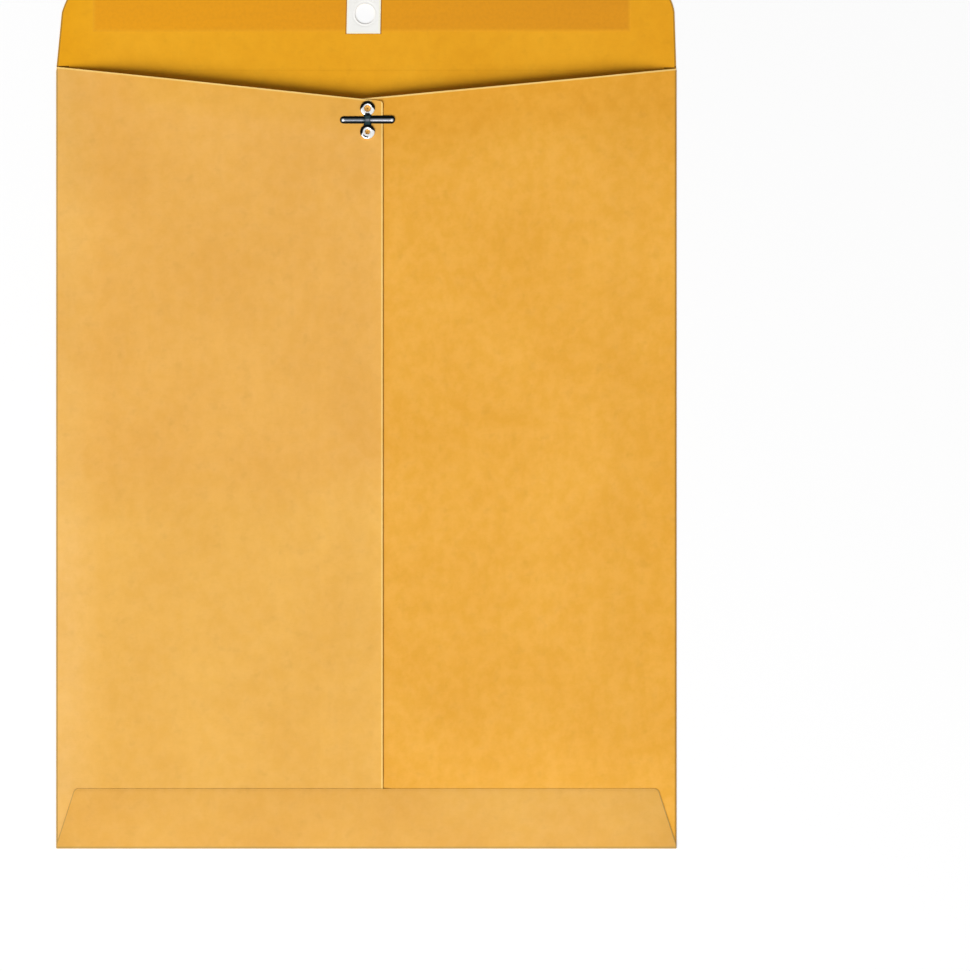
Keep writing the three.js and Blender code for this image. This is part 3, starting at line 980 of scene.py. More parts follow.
# The bottom flap's face is the kraft painted darker as shade.
dress(bottom_flap, bottom_flap_shaded_paper, kraft_inside, kraft_fold, cut_and_highlight_paper, kraft_fold)
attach(bottom_flap, "envelope_body")
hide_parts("bottom_flap")
print("bottom flap:", len(bottom_flap.data.vertices), "points")

# %% [markdown]
# ## Rolled folds
# At a fold the paper turns round its own thickness and the fibres on the outside stretch and
# darken a little. A bevel on one thick block would give a round edge too, but the sheets are
# separate, so a half-round bead along each side and along the bottom joins the front to the
# layers above it and closes the envelope when it is seen from the side.

# %% Folds
SIDE_BULGE = 0.2 * MM
BOTTOM_BULGE = 0.32 * MM
BEAD_STEPS = 8


def bead_section(height, bulge):
    """Outward distance and level of a half-round, from its top down to the table."""
    turns = [math.pi * k / BEAD_STEPS for k in range(BEAD_STEPS + 1)]
    return [(bulge * math.sin(t), height / 2 + height / 2 * math.cos(t)) for t in turns]


def fold_bead(name, stations, outward, bulge, finish):
    """stations are (x, y, height of the layers) along the fold."""
    points, faces = [], []
    for x, y, height in stations:
        for out, level in bead_section(height, bulge):
            points.append((x + outward[0] * out, y + outward[1] * out, level))
    ring = BEAD_STEPS + 1
    for k in range(len(stations) - 1):
        for j in range(ring):
            a, b = k * ring + j, k * ring + (j + 1) % ring
            faces.append((a, b, b + ring, a + ring))
    for end in (0, (len(stations) - 1) * ring):
        faces.append(tuple(end + j for j in range(ring)))
    mesh = mesh_from(name, points, faces)
    turn_outward(mesh)
    map_sheet(mesh, outward)
    piece = place(name, mesh, ROUND_CREASE)
    dress(piece, finish)
    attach(piece, "envelope_body")
    return piece


side_height = 2 * PAPER + LAYER_GAP
side_rows = steps(BOTTOM_FOLD, TOP_FOLD - CREASE, 40)
left_stations = [(LEFT_FOLD, y, side_height) for y in side_rows]
right_stations = [(RIGHT_FOLD, y, side_height) for y in side_rows]
bottom_stations = [
    (x, BOTTOM_FOLD, bottom_flap_under(x, BOTTOM_FOLD) + PAPER)
    for x in steps(LEFT_FOLD, RIGHT_FOLD, 120)
]
beads = [
    fold_bead("left_fold", left_stations, (-1, 0), SIDE_BULGE, kraft_fold),
    fold_bead("right_fold", right_stations, (1, 0), SIDE_BULGE, kraft_fold_right),
    fold_bead("bottom_fold", bottom_stations, (0, -1), BOTTOM_BULGE, kraft_fold),
]
print("fold beads:", [bead.name for bead in beads])

# %% [markdown]
# ## Gum
# Dried envelope gum is a thin, slightly glossy film. Two films hold the seam and the bottom
# flap and lie hidden between the layers, and the strip on the flap waits to be wetted. It
# could be a patch of colour on the paper, but a film of its own catches the light at its
# edge. A roller lays it on, so it is streaked along and its edges are not quite straight.

# %% Gum material
GUM_MARGIN = 1.4 * MM
GUM_BORDER = 1.6 * MM
GUM_REACH = 126 * MM
STREAKS = ((14, 160), 3.0, 0.6)
STREAK_TONES = [(0.3, (0.97, 0.965, 0.95)), (0.7, CLEAN)]
GUM_GRAIN = (600, 2.0, 0.6)
GUM_GRAIN_TONES = [(0.3, (0.95, 0.94, 0.92)), (0.6, CLEAN)]
strip_low = (flap_gum_low[0] - GUM_MARGIN, flap_gum_low[1] - GUM_MARGIN)
strip_high = (flap_gum_high[0] + GUM_MARGIN, flap_gum_high[1])


def thin_border(tree, uv, base):
    """The strip on the flap runs out thin along its border, and the paper shows through."""
    thin = along_sheet(tree, uv, "Y", strip_low[1] + GUM_BORDER, strip_low[1])
    for end, inward in ((strip_low[0], GUM_BORDER), (strip_high[0], -GUM_BORDER)):
        thin = combined(tree, "MAXIMUM", thin, along_sheet(tree, uv, "X", end + inward, end))
    return mixed(tree, thin, base, tone(243, 171, 25), "MIX")


def gum(name, left, right, border=None):
    """A film that turns from one tone at its left end into another at its right end."""
    material, tree, shader = new_finish(name, {"Specular IOR Level": 0.22})
    uv = sheet_place(tree)
    rightward = along_sheet(tree, uv, "X", -GUM_REACH, GUM_REACH)
    base = colour_scale(tree, rightward, [(0.1, left), (0.9, right)])
    if border:
        base = border(tree, uv, base)
    streaks = grain(tree, uv, *STREAKS)
    base = stained(tree, base, streaks, STREAK_TONES)
    fine = grain(tree, uv, *GUM_GRAIN)
    base = stained(tree, base, fine, GUM_GRAIN_TONES)
    uneven_gloss(tree, shader, streaks, glossy=0.5, matt=0.68)
    surface(tree, shader, base, fine, strength=0.12, depth=0.03 * MM)
    return material


gum_on_flap = gum("flap_gum", tone(240, 162, 9), tone(229, 152, 18), thin_border)
gum_hidden = gum("dried_gum", tone(212, 158, 78), tone(222, 170, 90))
print("gum finishes:", gum_on_flap.name, gum_hidden.name)

# %% Hidden films
GUM_WAVES = (60, 60, 5.0)


def gum_grid(low, high, columns, rows_count, waver=0.0):
    """Points of a strip whose lower and upper edges waver by so much."""
    ys = steps(low[1], high[1], rows_count)
    grid = [[(x, y) for y in ys] for x in steps(low[0], high[0], columns)]
    for column in grid:
        for row, outward in ((0, -1), (-1, 1)):
            x, y = column[row]
            column[row] = (x, y + outward * waver * ripple(x, y, *GUM_WAVES))
    return grid


def on_right_panel(x, y):
    return panel_under(x, y) + PAPER + LAYER_GAP


def on_back(x, y):
    return back_top(x, y) + LAYER_GAP


seam_grid = gum_grid(*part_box("seam_gum"), 10, 90)
seam_film = sheet("seam_gum_film", seam_grid, on_right_panel, GUM_FILM)
dress(seam_film, gum_hidden, gum_hidden, gum_hidden)
punch(seam_film, eyelet_centres, EYELET_HOLE)
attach(seam_film, "envelope_body")
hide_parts("seam_gum")
foot_grid = gum_grid(*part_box("bottom_flap_gum"), 90, 10)
foot_film = sheet("bottom_flap_gum_film", foot_grid, on_back, GUM_FILM)
dress(foot_film, gum_hidden, gum_hidden, gum_hidden)
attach(foot_film, "envelope_body")
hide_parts("bottom_flap_gum")
print("hidden films:", seam_film.name, foot_film.name)

# %% Gum strip on the flap
GUM_WAVER = 0.25 * MM
gum_thickness = flap_gum_high[2] - flap_gum_low[2]


def on_flap(x, y):
    return PAPER


strip_grid = gum_grid(strip_low, strip_high, 120, 12, GUM_WAVER)
flap_film = sheet("flap_gum_film", strip_grid, on_flap, gum_thickness)
dress(flap_film, gum_on_flap, gum_on_flap, gum_on_flap)
punch(flap_film, [(HOLE_X, HOLE_Y)], HOLE_RADIUS)
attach(flap_film, "flap")
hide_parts("flap_gum_strip")
print("gum strip:", len(flap_film.data.vertices), "points")

# %% [markdown]
# ## Reinforcing patch
# A small strip of strong off-white paper backs the punched hole, so that the prongs don't
# tear the kraft. The punch presses a faint ring round the hole, which is a dip in the height
# of the sheet, and a strip along the patch's cut edges is painted brighter than its face as
# a highlight.

# %% Patch material
PATCH_CLOUDS = (90, 3.0, 0.6)
PATCH_FIBRES = ((1800, 320), 2.0, 0.5, 0.2)


def patch_paper(name, low, high):
    """Hard white paper, with faint clouds in its colour and fibres in its relief."""
    material, tree, shader = new_finish(name, {"Roughness": 0.6, "Specular IOR Level": 0.3})
    uv = sheet_place(tree)
    base = colour_scale(tree, grain(tree, uv, *PATCH_CLOUDS), [(0.3, low), (0.7, high)])
    fibres = grain(tree, uv, *PATCH_FIBRES)
    surface(tree, shader, base, fibres, strength=0.15, depth=0.04 * MM)
    return material


patch_face = patch_paper("patch_face", tone(250, 248, 243), tone(254, 253, 249))
# The cut side's tone, which the strips along the edges also take as a painted highlight.
patch_edge_and_highlight = patch_paper("patch_edge_and_highlight", tone(255, 252, 228), tone(255, 252, 237))
print("patch finishes:", patch_face.name, patch_edge_and_highlight.name)

# %% Patch
RING_RADIUS = 5.6 * MM
RING_WIDTH = 0.35 * MM
RING_DEPTH = 0.09 * MM
PATCH_EDGE = 0.85 * MM
PATCH_LEAN = 0.02
patch_base = gum_thickness + PAPER


def leaned(x, y):
    """The patch is stuck down a little out of square."""
    return (x + PATCH_LEAN * (y - patch_low[1]), y)


def patch_under(x, y):
    """The patch dips where the punch pressed its ring."""
    ring = math.hypot(x - HOLE_X, y - HOLE_Y) - RING_RADIUS
    return patch_base - RING_DEPTH * math.exp(-((ring / RING_WIDTH) ** 2))


def patch_steps(axis, count):
    """Even steps with a narrow strip at either end."""
    low, high = patch_low[axis], patch_high[axis]
    return [low] + steps(low + PATCH_EDGE, high - PATCH_EDGE, count) + [high]


patch_xs = patch_steps(0, 44)
patch_ys = patch_steps(1, 52)
patch_grid = [[leaned(x, y) for y in patch_ys] for x in patch_xs]


# Strips along the patch's edges are painted bright as a highlight.
def patch_trim(i, j):
    return EDGE if i in (0, len(patch_xs) - 2) or j in (0, len(patch_ys) - 2) else FACE


patch_thickness = patch_high[2] - patch_base
patch = sheet("hole_patch_paper", patch_grid, patch_under, patch_thickness, patch_trim)
dress(patch, patch_face, patch_face, patch_edge_and_highlight, patch_edge_and_highlight)
punch(patch, [(HOLE_X, HOLE_Y)], HOLE_RADIUS)
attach(patch, "flap")
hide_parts("hole_patch")
print("patch:", len(patch.data.vertices), "points")

# %% [markdown]
# ## Painted shadow round the patch
# A thin darker line is painted round the patch as the shadow of its raised edge. It could be
# painted on the flap, but a film of its own under the patch, a little larger than the patch,
# follows the patch's lean exactly.

# %% Painted shadow line
# A darker line painted round the patch as its shadow, on a film a little wider than the patch.
SHADOW_SIDES = 0.55 * MM
SHADOW_ENDS = 0.35 * MM
SHADOW_FILM = 0.012 * MM
SHADOW_WAVER = 0.12 * MM
TIP_MARGIN = 1 * MM
shadow_low = (patch_low[0] - SHADOW_SIDES, patch_low[1] - SHADOW_ENDS)
shadow_high = (patch_high[0] + SHADOW_SIDES, min(patch_high[1] + SHADOW_ENDS, FLAP_TIP - TIP_MARGIN))
square_grid = gum_grid(shadow_low, shadow_high, 20, 24, SHADOW_WAVER)
shadow_grid = [[leaned(x, y) for x, y in column] for column in square_grid]
patch_shadow_line = sheet("patch_painted_shadow_line", shadow_grid, on_flap, gum_thickness + SHADOW_FILM)
shadow_line_tone = gum("painted_patch_shadow_tone", tone(188, 126, 30), tone(182, 120, 30))
dress(patch_shadow_line, shadow_line_tone, shadow_line_tone, shadow_line_tone)
punch(patch_shadow_line, [(HOLE_X, HOLE_Y)], HOLE_RADIUS)
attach(patch_shadow_line, "flap")
print("glue line:", len(patch_shadow_line.data.vertices), "points")

# %% [markdown]
# ## Tinned steel
# The clasp is stamped from thin tinned steel. The stamping's crown stays bright, while its
# flanks and the flat neck are painted dark as a reflection, and a spot near each prong's tip
# is painted bright as a glint. Such places are often found by a shader that senses curvature,
# but that gives no say in where they lie, so a flank value is stored on the points and the
# metal reads it.

# %% Metal material
SCUFFS = ((900, 5200), 3.0, 0.5, 0.1)
SCUFF_TONES = [(0.35, (0.82, 0.83, 0.84)), (0.65, CLEAN)]
# Tones from the bright crown to the dark of the painted reflection.
TIN_TONES = [
    (0.0, tone(240, 240, 237)),
    (0.5, tone(149, 150, 158)),
    (0.78, tone(47, 65, 67)),
    (1.0, tone(16, 18, 16)),
]
tin, tin_tree, tin_shader = new_finish("tinned_steel", {"Metallic": 1.0})
flank_share = add_node(tin_tree, "Attribute", attribute_name="flank").outputs["Fac"]
on_metal = add_node(tin_tree, "TexCoord").outputs["Object"]
scuffs = grain(tin_tree, on_metal, *SCUFFS)
tin_base = colour_scale(tin_tree, flank_share, TIN_TONES)
tin_base = stained(tin_tree, tin_base, scuffs, SCUFF_TONES)
uneven_gloss(tin_tree, tin_shader, scuffs, glossy=0.22, matt=0.36)
surface(tin_tree, tin_shader, tin_base, scuffs, strength=0.08, depth=0.02 * MM)


def metal_piece(name, points, faces, flank):
    """A tinned piece; flank is its painted reflection at each point, 0 for a bright crown and 1
    for dark.
    """
    mesh = mesh_from(name, points, faces)
    layer = mesh.attributes.new("flank", "FLOAT", "POINT")
    layer.data.foreach_set("value", flank)
    mesh.validate()
    turn_outward(mesh)
    mesh.materials.append(tin)
    return place(name, mesh, ROUND_CREASE)


print("metal finish:", tin.name)

# %% [markdown]
# ## Eyelets
# Two eyelets are drawn down through the back and clinched inside the pocket. Such a rolled
# rim could be a torus, but the barrel and the clinch belong to it, so one section is turned
# about the axis, as on a lathe. Each rim is painted dark along its own arcs as a reflection,
# and the tool that set the lower one has pressed a small crescent into it, which is also
# painted dark as a reflection.

# %% Section of an eyelet
EYELET_RADIUS = 3.5 * MM
EYELET_BORES = (1.12 * MM, 1.5 * MM)
RIM_HEIGHT = clasp_high[2] - CLASP_SEAT
RIM_FOOT = 0.12 * MM
RIM_UNDERCUT = 0.15 * MM
BORE_DEPTH = 0.5 * MM
RIM_STEPS = 24
RIM_ROUNDNESS = 0.8
BARREL = 1.85 * MM
CLINCH_RADIUS = 2.8 * MM
CLINCH_ROUND = 0.1 * MM
clinch_low = clasp_low[2]
clinch_top = clinch_low + 0.25 * MM


def eyelet_section(bore):
    """Radius, height and painted dark share, clinch first; None on the rim, whose painted
    reflection follows its arcs.
    """
    section = [
        (bore, clinch_low, 0.5),
        (CLINCH_RADIUS - CLINCH_ROUND, clinch_low, 0.5),
        (CLINCH_RADIUS, clinch_low + CLINCH_ROUND, 0.8),
        (CLINCH_RADIUS - CLINCH_ROUND, clinch_top, 0.8),
        (BARREL, clinch_top, 0.9),
        (BARREL, CLASP_SEAT, 0.9),
        (EYELET_RADIUS - RIM_UNDERCUT, CLASP_SEAT, None),
    ]
    middle = (EYELET_RADIUS + bore) / 2
    half = (EYELET_RADIUS - bore) / 2
    for k in range(RIM_STEPS + 1):
        turn = math.pi * k / RIM_STEPS
        rise = (RIM_HEIGHT - RIM_FOOT) * math.sin(turn) ** RIM_ROUNDNESS
        section.append((middle + half * math.cos(turn), CLASP_SEAT + RIM_FOOT + rise, None))
    section.append((bore, CLASP_SEAT - BORE_DEPTH, 0.5))
    return section


print("points in an eyelet's section:", len(eyelet_section(EYELET_BORES[0])))

# %% Turning the eyelets and painting their reflections
TURNS = 96
# Reach, and arcs in degrees, of the dark reflection painted on each rim.
REFLECTION_REACH = 2.15 * MM
REFLECTION_BLEND = 0.5 * MM
UPPER_REFLECTION_ARCS = [(-4, 186, 60), (244, 296, 14)]
LOWER_REFLECTION_ARCS = [(10, 208, 60)]
CRESCENT = (214, 278, 14)
CRESCENT_RADIUS = 2.5 * MM
CRESCENT_HALF = 0.34 * MM
DENT_DEPTH = 0.03 * MM


def arc_share(angle, start, end, soft):
    """1 between two angles in degrees, with ends that are soft over so many degrees."""
    middle, half = (start + end) / 2, (end - start) / 2
    away = abs((math.degrees(angle) - middle + 180) % 360 - 180)
    return smooth((half - away) / soft + 0.5)


def rim_reflection(radius, reflected_share):
    """The painted reflection reaches in from the rim's foot, less far where its arc runs out."""
    clean = EYELET_RADIUS + REFLECTION_BLEND - REFLECTION_REACH
    inner = REFLECTION_REACH + clean * (1 - reflected_share)
    return smooth((radius - inner) / REFLECTION_BLEND + 0.5)


def turn_eyelet(centre, section, stains, dent_arc, points, faces, flank):
    """stains are the arcs painted dark as a reflection; dent_arc is a short arc on the crown where
    the setting tool left a dent, also painted dark as a reflection.
    """
    first = len(points)
    count = len(section)
    for step in range(TURNS):
        angle = 2 * math.pi * step / TURNS
        reflected_share = max(arc_share(angle, *arc) for arc in stains)
        dented = arc_share(angle, *dent_arc) if dent_arc else 0.0
        for radius, height, dark in section:
            on_rim = dark is None
            across = abs(radius - CRESCENT_RADIUS) / CRESCENT_HALF
            dent = dented * smooth(1.5 - across) * on_rim
            x = centre[0] + radius * math.cos(angle)
            y = centre[1] + radius * math.sin(angle)
            points.append((x, y, height - DENT_DEPTH * dent))
            flank.append(max(rim_reflection(radius, reflected_share) if on_rim else dark, dent))
    for step in range(TURNS):
        here, there = first + step * count, first + ((step + 1) % TURNS) * count
        for k in range(count):
            after = (k + 1) % count
            faces.append((here + k, there + k, there + after, here + after))


print("an eyelet is turned in", TURNS, "steps")

# %% [markdown]
# ## Neck and stamping
# A flat strip joins the eyelets and carries the two prongs. Neck and eyelets are pressed from
# the same piece of steel, so they go into one mesh and aren't joined by a Boolean: they only
# have to run into each other under the rims.

# %% Neck and eyelets as one stamping
BEAD_HALF = 0.62 * MM
NECK_HALF = 1.65 * MM
NECK_REACH = EYELET_SPREAD - 2.2 * MM
NECK_THICK = 0.35 * MM
NECK_FLARE = 0.55 * MM
NECK_ROUND = 0.1 * MM
NECK_SHARES = [-1, -0.86, -0.5, 0, 0.5, 0.86, 1]
# The neck is painted dark as a reflection, lighter where the bead's stripe crosses it and darkest
# at its edges.
BEAD_FLANK = 0.6
STRIP_FLANK = 0.78
EDGE_FLANK = 0.95


def neck(points, faces, flank):
    """A flat strip that widens where it runs into the eyelets' rims."""
    ys = steps(-NECK_REACH, NECK_REACH, 40)
    faces += shell_faces(len(ys), len(NECK_SHARES), len(points))
    for level in (0, 1):
        for y in ys:
            half = NECK_HALF + NECK_FLARE * (abs(y) / NECK_REACH) ** 3
            for share in NECK_SHARES:
                thickness = NECK_THICK - NECK_ROUND * (abs(share) > 0.9)
                z = CLASP_SEAT + level * thickness
                points.append((CLASP_X + share * half, CLASP_Y + y, z))
                bare = BEAD_FLANK if abs(y) < BEAD_HALF else STRIP_FLANK
                flank.append(bare if abs(share) < 0.8 else EDGE_FLANK)


base_points, base_faces, base_flank = [], [], []
for centre, bore, stains, dent_arc in zip(
    eyelet_centres, EYELET_BORES, (LOWER_REFLECTION_ARCS, UPPER_REFLECTION_ARCS), (CRESCENT, None)
):
    section = eyelet_section(bore)
    turn_eyelet(centre, section, stains, dent_arc, base_points, base_faces, base_flank)
neck(base_points, base_faces, base_flank)
clasp = metal_piece("clasp_stamping", base_points, base_faces, base_flank)
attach(clasp, "envelope_body")
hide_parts("clasp_base")
print("clasp stamping:", len(clasp.data.vertices), "points")

# %% [markdown]
# ## Burst paper inside the eyelets
# The eyelets are pressed through the paper without a punch, so the paper bursts into petals
# that stay in the barrel. They close the bore a little below the rim and show as a small
# kraft-coloured star. A disc would do from far away, but the slits between the petals are
# what a close look finds, so each petal is a thin shell of its own.

# %% Petals
PETALS = 5
PETAL_SLACK = 0.05 * MM
PETAL_LEVEL = CLASP_SEAT + 0.15 * MM
PETAL_DISH = 0.35 * MM
PETAL_POINT = 0.08
PETAL_RINGS = 5
PETAL_PARTS = 8
PETAL_THICK = 0.5 * PAPER
SLIT = 0.04 * MM
SLIT_OPENING = 1.5
SLIT_LIMIT = 0.5


def petal_star(name, centre, bore, turn):
    """Petals that narrow to the middle, dished, with a thin slit between them."""
    reach = bore - PETAL_SLACK
    points, faces = [], []
    for petal in range(PETALS):
        start = turn + 2 * math.pi * petal / PETALS
        faces += shell_faces(PETAL_RINGS + 1, PETAL_PARTS + 1, len(points))
        for level in (-PETAL_THICK, 0):
            for out in steps(0, 1, PETAL_RINGS):
                radius = reach * (PETAL_POINT + (1 - PETAL_POINT) * out)
                slit = min(SLIT * (1 + SLIT_OPENING * (1 - out)) / radius, SLIT_LIMIT)
                dish = PETAL_DISH * (1 - (radius / reach) ** 2)
                for angle in steps(start + slit, start + 2 * math.pi / PETALS - slit, PETAL_PARTS):
                    x = centre[0] + radius * math.cos(angle)
                    y = centre[1] + radius * math.sin(angle)
                    points.append((x, y, PETAL_LEVEL - dish + level))
    mesh = mesh_from(name, points, faces)
    turn_outward(mesh)
    map_sheet(mesh)
    piece = place(name, mesh)
    dress(piece, kraft_outside)
    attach(piece, "envelope_body")
    return piece


lower_star = petal_star("burst_paper_lower", eyelet_centres[0], EYELET_BORES[0], 0.3)
upper_star = petal_star("burst_paper_upper", eyelet_centres[1], EYELET_BORES[1], 0.9)
print("burst paper:", lower_star.name, upper_star.name)

# %% [markdown]
# ## Prongs
# Each prong is a strip with a rolled-up bead along its middle, which stiffens it, and a
# rounded tip. A flat strip with a bump map would look right only from above, so the bead is
# in the heights of the rows. The root runs a little under the neck's edge, on the line where
# the metal bends, so that no gap opens when the prong is lifted.

# %% Width of a prong
PRONG_HALF = (prong_high[1] - prong_low[1]) / 2
PRONG_TIP = prong_high[0] - CLASP_X
BLUNT_TIP = 0.02


def prong_width(x):
    """Half the strip's width, which rounds off towards the tip."""
    past = max((x - PRONG_TIP + PRONG_HALF) / PRONG_HALF, 0.0)
    return PRONG_HALF * math.sqrt(max(1 - past**2, BLUNT_TIP**2))


print("prongs reach", round(PRONG_TIP / MM, 2), "mm from the clasp's middle")

# %% Upper side of a prong
PRONG_HEIGHT = prong_high[2] - CLASP_SEAT
FLANGE = 0.34 * MM
THIN_FROM = 0.75
THIN_BY = 0.5
BEAD_FOOT = 1.5 * BEAD_HALF
BEAD_ROUNDNESS = 1.2
TIP_RIM = 0.35 * MM
TIP_RISE = 0.9 * MM
CROWN_HALF = 0.75 * BEAD_HALF
FLANK_BLEND = 0.55 * BEAD_HALF
STRIPE_RANGE = 0.1
# A spot near each tip painted bright as a glint.
GLINT_INSET = 1.5 * MM
GLINT_HALF = 0.8 * MM
SHADE_REACH = 1.2 * MM
SHADE_BLEND = 1.4 * MM
NECK_SHADE = 0.12


def prong_top(x, y, shine):
    """Height above the seat, and flank, of a point on the prong's upper side. The flank is a
    painted reflection, shine sets how dark the crown's stripe is painted, and a spot near the tip
    is painted bright as a glint.
    """
    edge = abs(y) / prong_width(x)
    tip = smooth((PRONG_TIP - x - TIP_RIM) / TIP_RISE)
    flange = FLANGE * (1 - THIN_BY * max(edge - THIN_FROM, 0) / (1 - THIN_FROM))
    bead = math.cos(min(abs(y) / BEAD_FOOT, 1.0) * math.pi / 2) ** BEAD_ROUNDNESS
    height = flange + (PRONG_HEIGHT - FLANGE) * bead * tip
    dark = shine + (1 - shine) * smooth((abs(y) - CROWN_HALF) / FLANK_BLEND)
    glint = smooth(1 - abs(x - PRONG_TIP + GLINT_INSET) / GLINT_HALF)
    onto_neck = smooth((NECK_HALF + SHADE_REACH - x) / SHADE_BLEND)
    on_stripe = dark < shine + STRIPE_RANGE
    dark -= shine * glint * on_stripe
    dark += NECK_SHADE * onto_neck * on_stripe
    return height, max(dark, smooth(1 - tip))


print("the bead stands", round((PRONG_HEIGHT - FLANGE) / MM, 2), "mm above the flange")

# %% Underside of a prong
UNDERSIDE_EDGE = 0.05 * MM
UNDERSIDE_MIDDLE = 0.10 * MM
UNDERSIDE_DRAW = 0.35


def prong_hollow(crown, share):
    """Height of the underside, which is drawn up under the bead."""
    if share == 0 or abs(share) >= 0.98:
        return UNDERSIDE_EDGE / 2
    return (UNDERSIDE_MIDDLE + UNDERSIDE_DRAW * crown * (abs(share) < 0.9)) / 2


print("the underside is drawn up by", UNDERSIDE_DRAW / 2, "of the bead's height")

# %% Prong mesh
def prong(name, side, shine, brim, body, node):
    """brim widens the dark flange on the upper side, which stands in as painted shadow for the
    shadow the prong casts.
    """
    xs = [NECK_HALF - 0.35 * MM] + steps(NECK_HALF + 0.3 * MM, PRONG_TIP - PRONG_HALF, 30)
    xs += [PRONG_TIP - PRONG_HALF * (1 - rise) for rise in quarter(14)[1:]]
    shares = steps(-1, 1, 24)
    points, flank = [], []
    for upper in (False, True):
        for x in xs:
            for share in shares:
                y = share * prong_width(x)
                height, dark = prong_top(x, y, shine)
                if not upper:
                    height, dark = prong_hollow(height - FLANGE, share), 1.0
                y += brim * smooth(2 * share - 0.8)
                points.append((CLASP_X + side * x, CLASP_Y + y, CLASP_SEAT + height))
                flank.append(dark)
    piece = metal_piece(name, points, shell_faces(len(xs), len(shares)), flank)
    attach(piece, body)
    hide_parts(node)
    return piece


left_prong = prong("prong_left_strip", -1, 0.6, 0.15 * MM, "prong_left", "clasp_prong_left")
right_prong = prong("prong_right_strip", 1, 0.46, 0.45 * MM, "prong_right", "clasp_prong_right")
print("prongs:", [len(piece.data.vertices) for piece in (left_prong, right_prong)], "points")

# %% [markdown]
# ## Floor
# The envelope lies on a plain white floor. A white floor under plain light renders grey, and
# more light would bleach the paper, so the floor glows a little where the camera or a
# reflection looks at it, and it still takes the shadow. Far from the envelope it fades into
# the white world, like a photographer's sweep.

# %% Floor disc
FLOOR_RADIUS = 14
FLOOR_SIDES = 96
FLOOR_DROP = 0.08 * MM
floor_mesh = bpy.data.meshes.new("floor")
work = bmesh.new()
bmesh.ops.create_circle(work, cap_ends=True, segments=FLOOR_SIDES, radius=FLOOR_RADIUS)
bmesh.ops.translate(work, verts=work.verts, vec=(0, 0, -FLOOR_DROP))
work.to_mesh(floor_mesh)
work.free()
floor = bpy.data.objects.new("floor", floor_mesh)
bpy.context.collection.objects.link(floor)
print("floor radius:", FLOOR_RADIUS, "m")

# %% Floor material
FLOOR_TONE = (0.85, 0.85, 0.85, 1)
WHITE = (1, 1, 1, 1)
FLOOR_GLOW = 0.2
SWEEP_START = 0.7
SWEEP_END = 2.4


def seen_directly(tree):
    """1 for camera, glossy and transmission rays, 0 for the rays that carry light."""
    path = add_node(tree, "LightPath")
    total = path.outputs["Is Camera Ray"]
    for name in ("Is Glossy Ray", "Is Transmission Ray"):
        total = combined(tree, "MAXIMUM", total, path.outputs[name])
    return total


def shown(tree, share, first, second, output):
    """Mixes two shaders and links them to the output."""
    inputs = {0: share, 1: first.outputs[0], 2: second.outputs[0]}
    mix = add_node(tree, "MixShader", inputs)
    add_node(tree, output, {"Surface": mix.outputs[0]})


floor_material = bpy.data.materials.new("white_floor")
floor_tree = cleared(floor_material)
seen = seen_directly(floor_tree)
diffuse = add_node(floor_tree, "BsdfDiffuse", {"Color": FLOOR_TONE})
glow = add_node(
    floor_tree, "Emission", {"Strength": combined(floor_tree, "MULTIPLY", seen, FLOOR_GLOW)}
)
lit_floor = add_node(floor_tree, "AddShader", {0: diffuse.outputs[0], 1: glow.outputs[0]})
floor_place = add_node(floor_tree, "TexCoord").outputs["Object"]
reach = add_node(floor_tree, "VectorMath", {0: floor_place}, operation="LENGTH")
sweep = between(
    floor_tree, reach.outputs["Value"], SWEEP_START, SWEEP_END, interpolation_type="SMOOTHSTEP"
)
sweep_share = combined(floor_tree, "MULTIPLY", seen, sweep)
sweep_white = add_node(floor_tree, "Emission", {"Color": WHITE})
shown(floor_tree, sweep_share, lit_floor, sweep_white, "OutputMaterial")
floor_mesh.materials.append(floor_material)
floor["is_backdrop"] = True
print("the floor turns white from", SWEEP_START, "to", SWEEP_END, "m")

# %% [markdown]
# ## World and key light
# The light is soft and comes from the lower left, where the photograph's short shadows point
# from. One large disc gives the shadows. The world fills the rest, stronger from the side
# below the envelope, and the camera sees it as plain white.

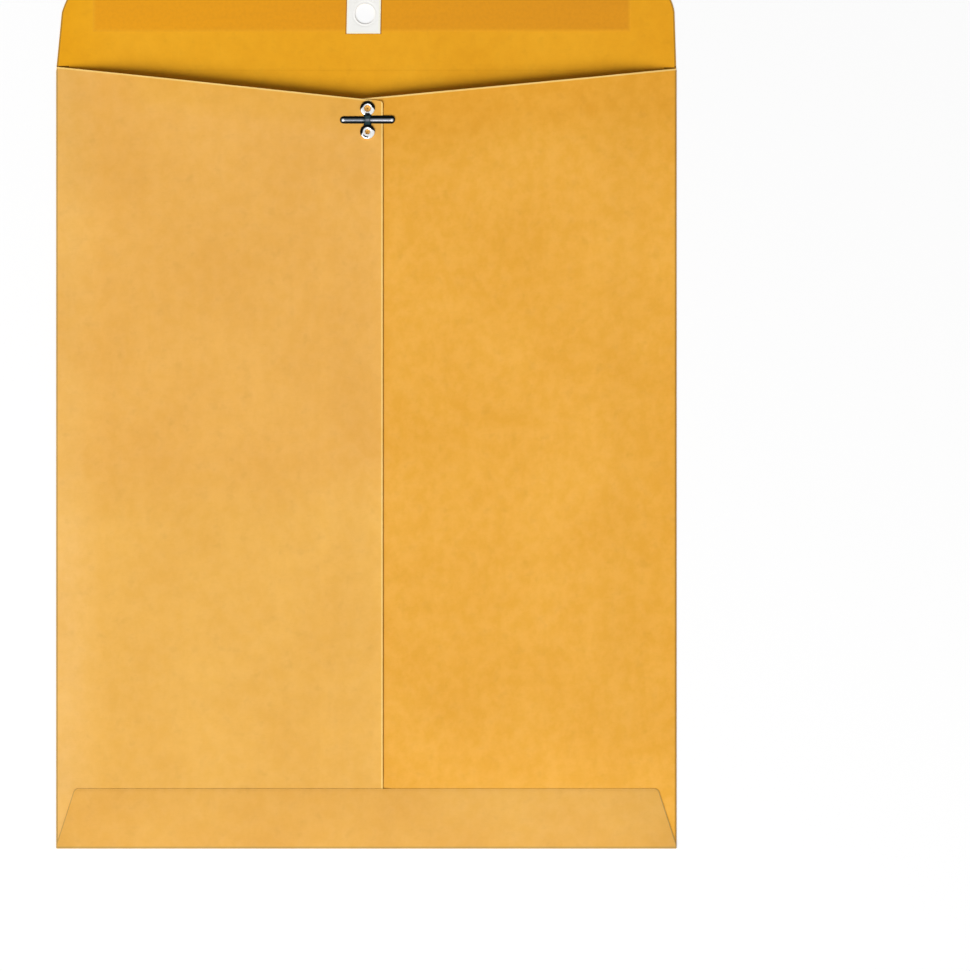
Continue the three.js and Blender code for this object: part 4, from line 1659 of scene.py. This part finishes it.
# %% World
FILL_SOUTH = 0.92
FILL_NORTH = 0.02
FILL_REACH = 0.55
world = bpy.data.worlds.new("studio")
bpy.context.scene.world = world
world_tree = cleared(world)
direction = add_node(world_tree, "TexCoord").outputs["Generated"]
northward = add_node(world_tree, "SeparateXYZ", {0: direction}).outputs["Y"]
fill_range = add_node(world_tree, "MapRange", {
    "Value": northward,
    "From Min": -FILL_REACH,
    "From Max": FILL_REACH,
    "To Min": FILL_SOUTH,
    "To Max": FILL_NORTH,
})
fill_light = add_node(world_tree, "Background", {"Strength": fill_range.outputs["Result"]})
white_back = add_node(world_tree, "Background", {"Color": WHITE, "Strength": 1.0})
shown(world_tree, seen_directly(world_tree), fill_light, white_back, "OutputWorld")
print("fill light from", FILL_NORTH, "to", FILL_SOUTH)

# %% Key light
key_data = bpy.data.lights.new("key", "AREA")
key_data.shape = "DISK"
key_data.size = 7.0
key_data.energy = 650
key = bpy.data.objects.new("key", key_data)
key.location = (-2.9, -5.2, 5.9)
key.rotation_euler = (-Vector(key.location)).to_track_quat("-Z", "Y").to_euler()
bpy.context.collection.objects.link(key)
print("key light:", key_data.energy, "W over", key_data.size, "m")

# %% [markdown]
# ## Camera
# The photograph looks straight down on the back, with the flap at the top. A long lens keeps
# the edges parallel, as an orthographic camera would, and still gives the faint perspective
# of a real one. The frame's middle lies to the right of the envelope, because the envelope
# fills only the left of the picture.

# %% Camera
FRAME_PIXELS = 970
MM_PER_PIXEL = 0.472
FOLD_ROW = 67.3
LEFT_COLUMN = 55.8
RIGHT_COLUMN = 677.1
scale = MM_PER_PIXEL * MM
middle_column = (LEFT_COLUMN + RIGHT_COLUMN) / 2
camera_x = (FRAME_PIXELS / 2 - middle_column) * scale
camera_y = TOP_FOLD - (FRAME_PIXELS / 2 + 0.5 - FOLD_ROW) * scale
camera_data = bpy.data.cameras.new("camera")
camera_data.lens = 400
camera_data.sensor_width = 36
camera_data.clip_end = 100
camera_height = FRAME_PIXELS * scale * camera_data.lens / camera_data.sensor_width
camera = bpy.data.objects.new("camera", camera_data)
camera.location = (camera_x, camera_y, camera_height)
bpy.context.collection.objects.link(camera)
bpy.context.scene.camera = camera
bpy.context.scene.view_settings.view_transform = "Standard"
print("camera height:", round(camera_height, 3), "m")

# %% [markdown]
# ## Finish
# The model's own box and the dressed box are compared, and the largest shift of a side is
# printed. The dressing may add the thin bulge of the rolled folds to the envelope's size, and
# nothing more.

# %% Sizes and finish
dressed_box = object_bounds()
growth = [abs(a - b) for pair in zip(cad_box, dressed_box) for a, b in zip(*pair)]
print("dressing moves the box's sides by at most", round(max(growth) / MM, 2), "mm")
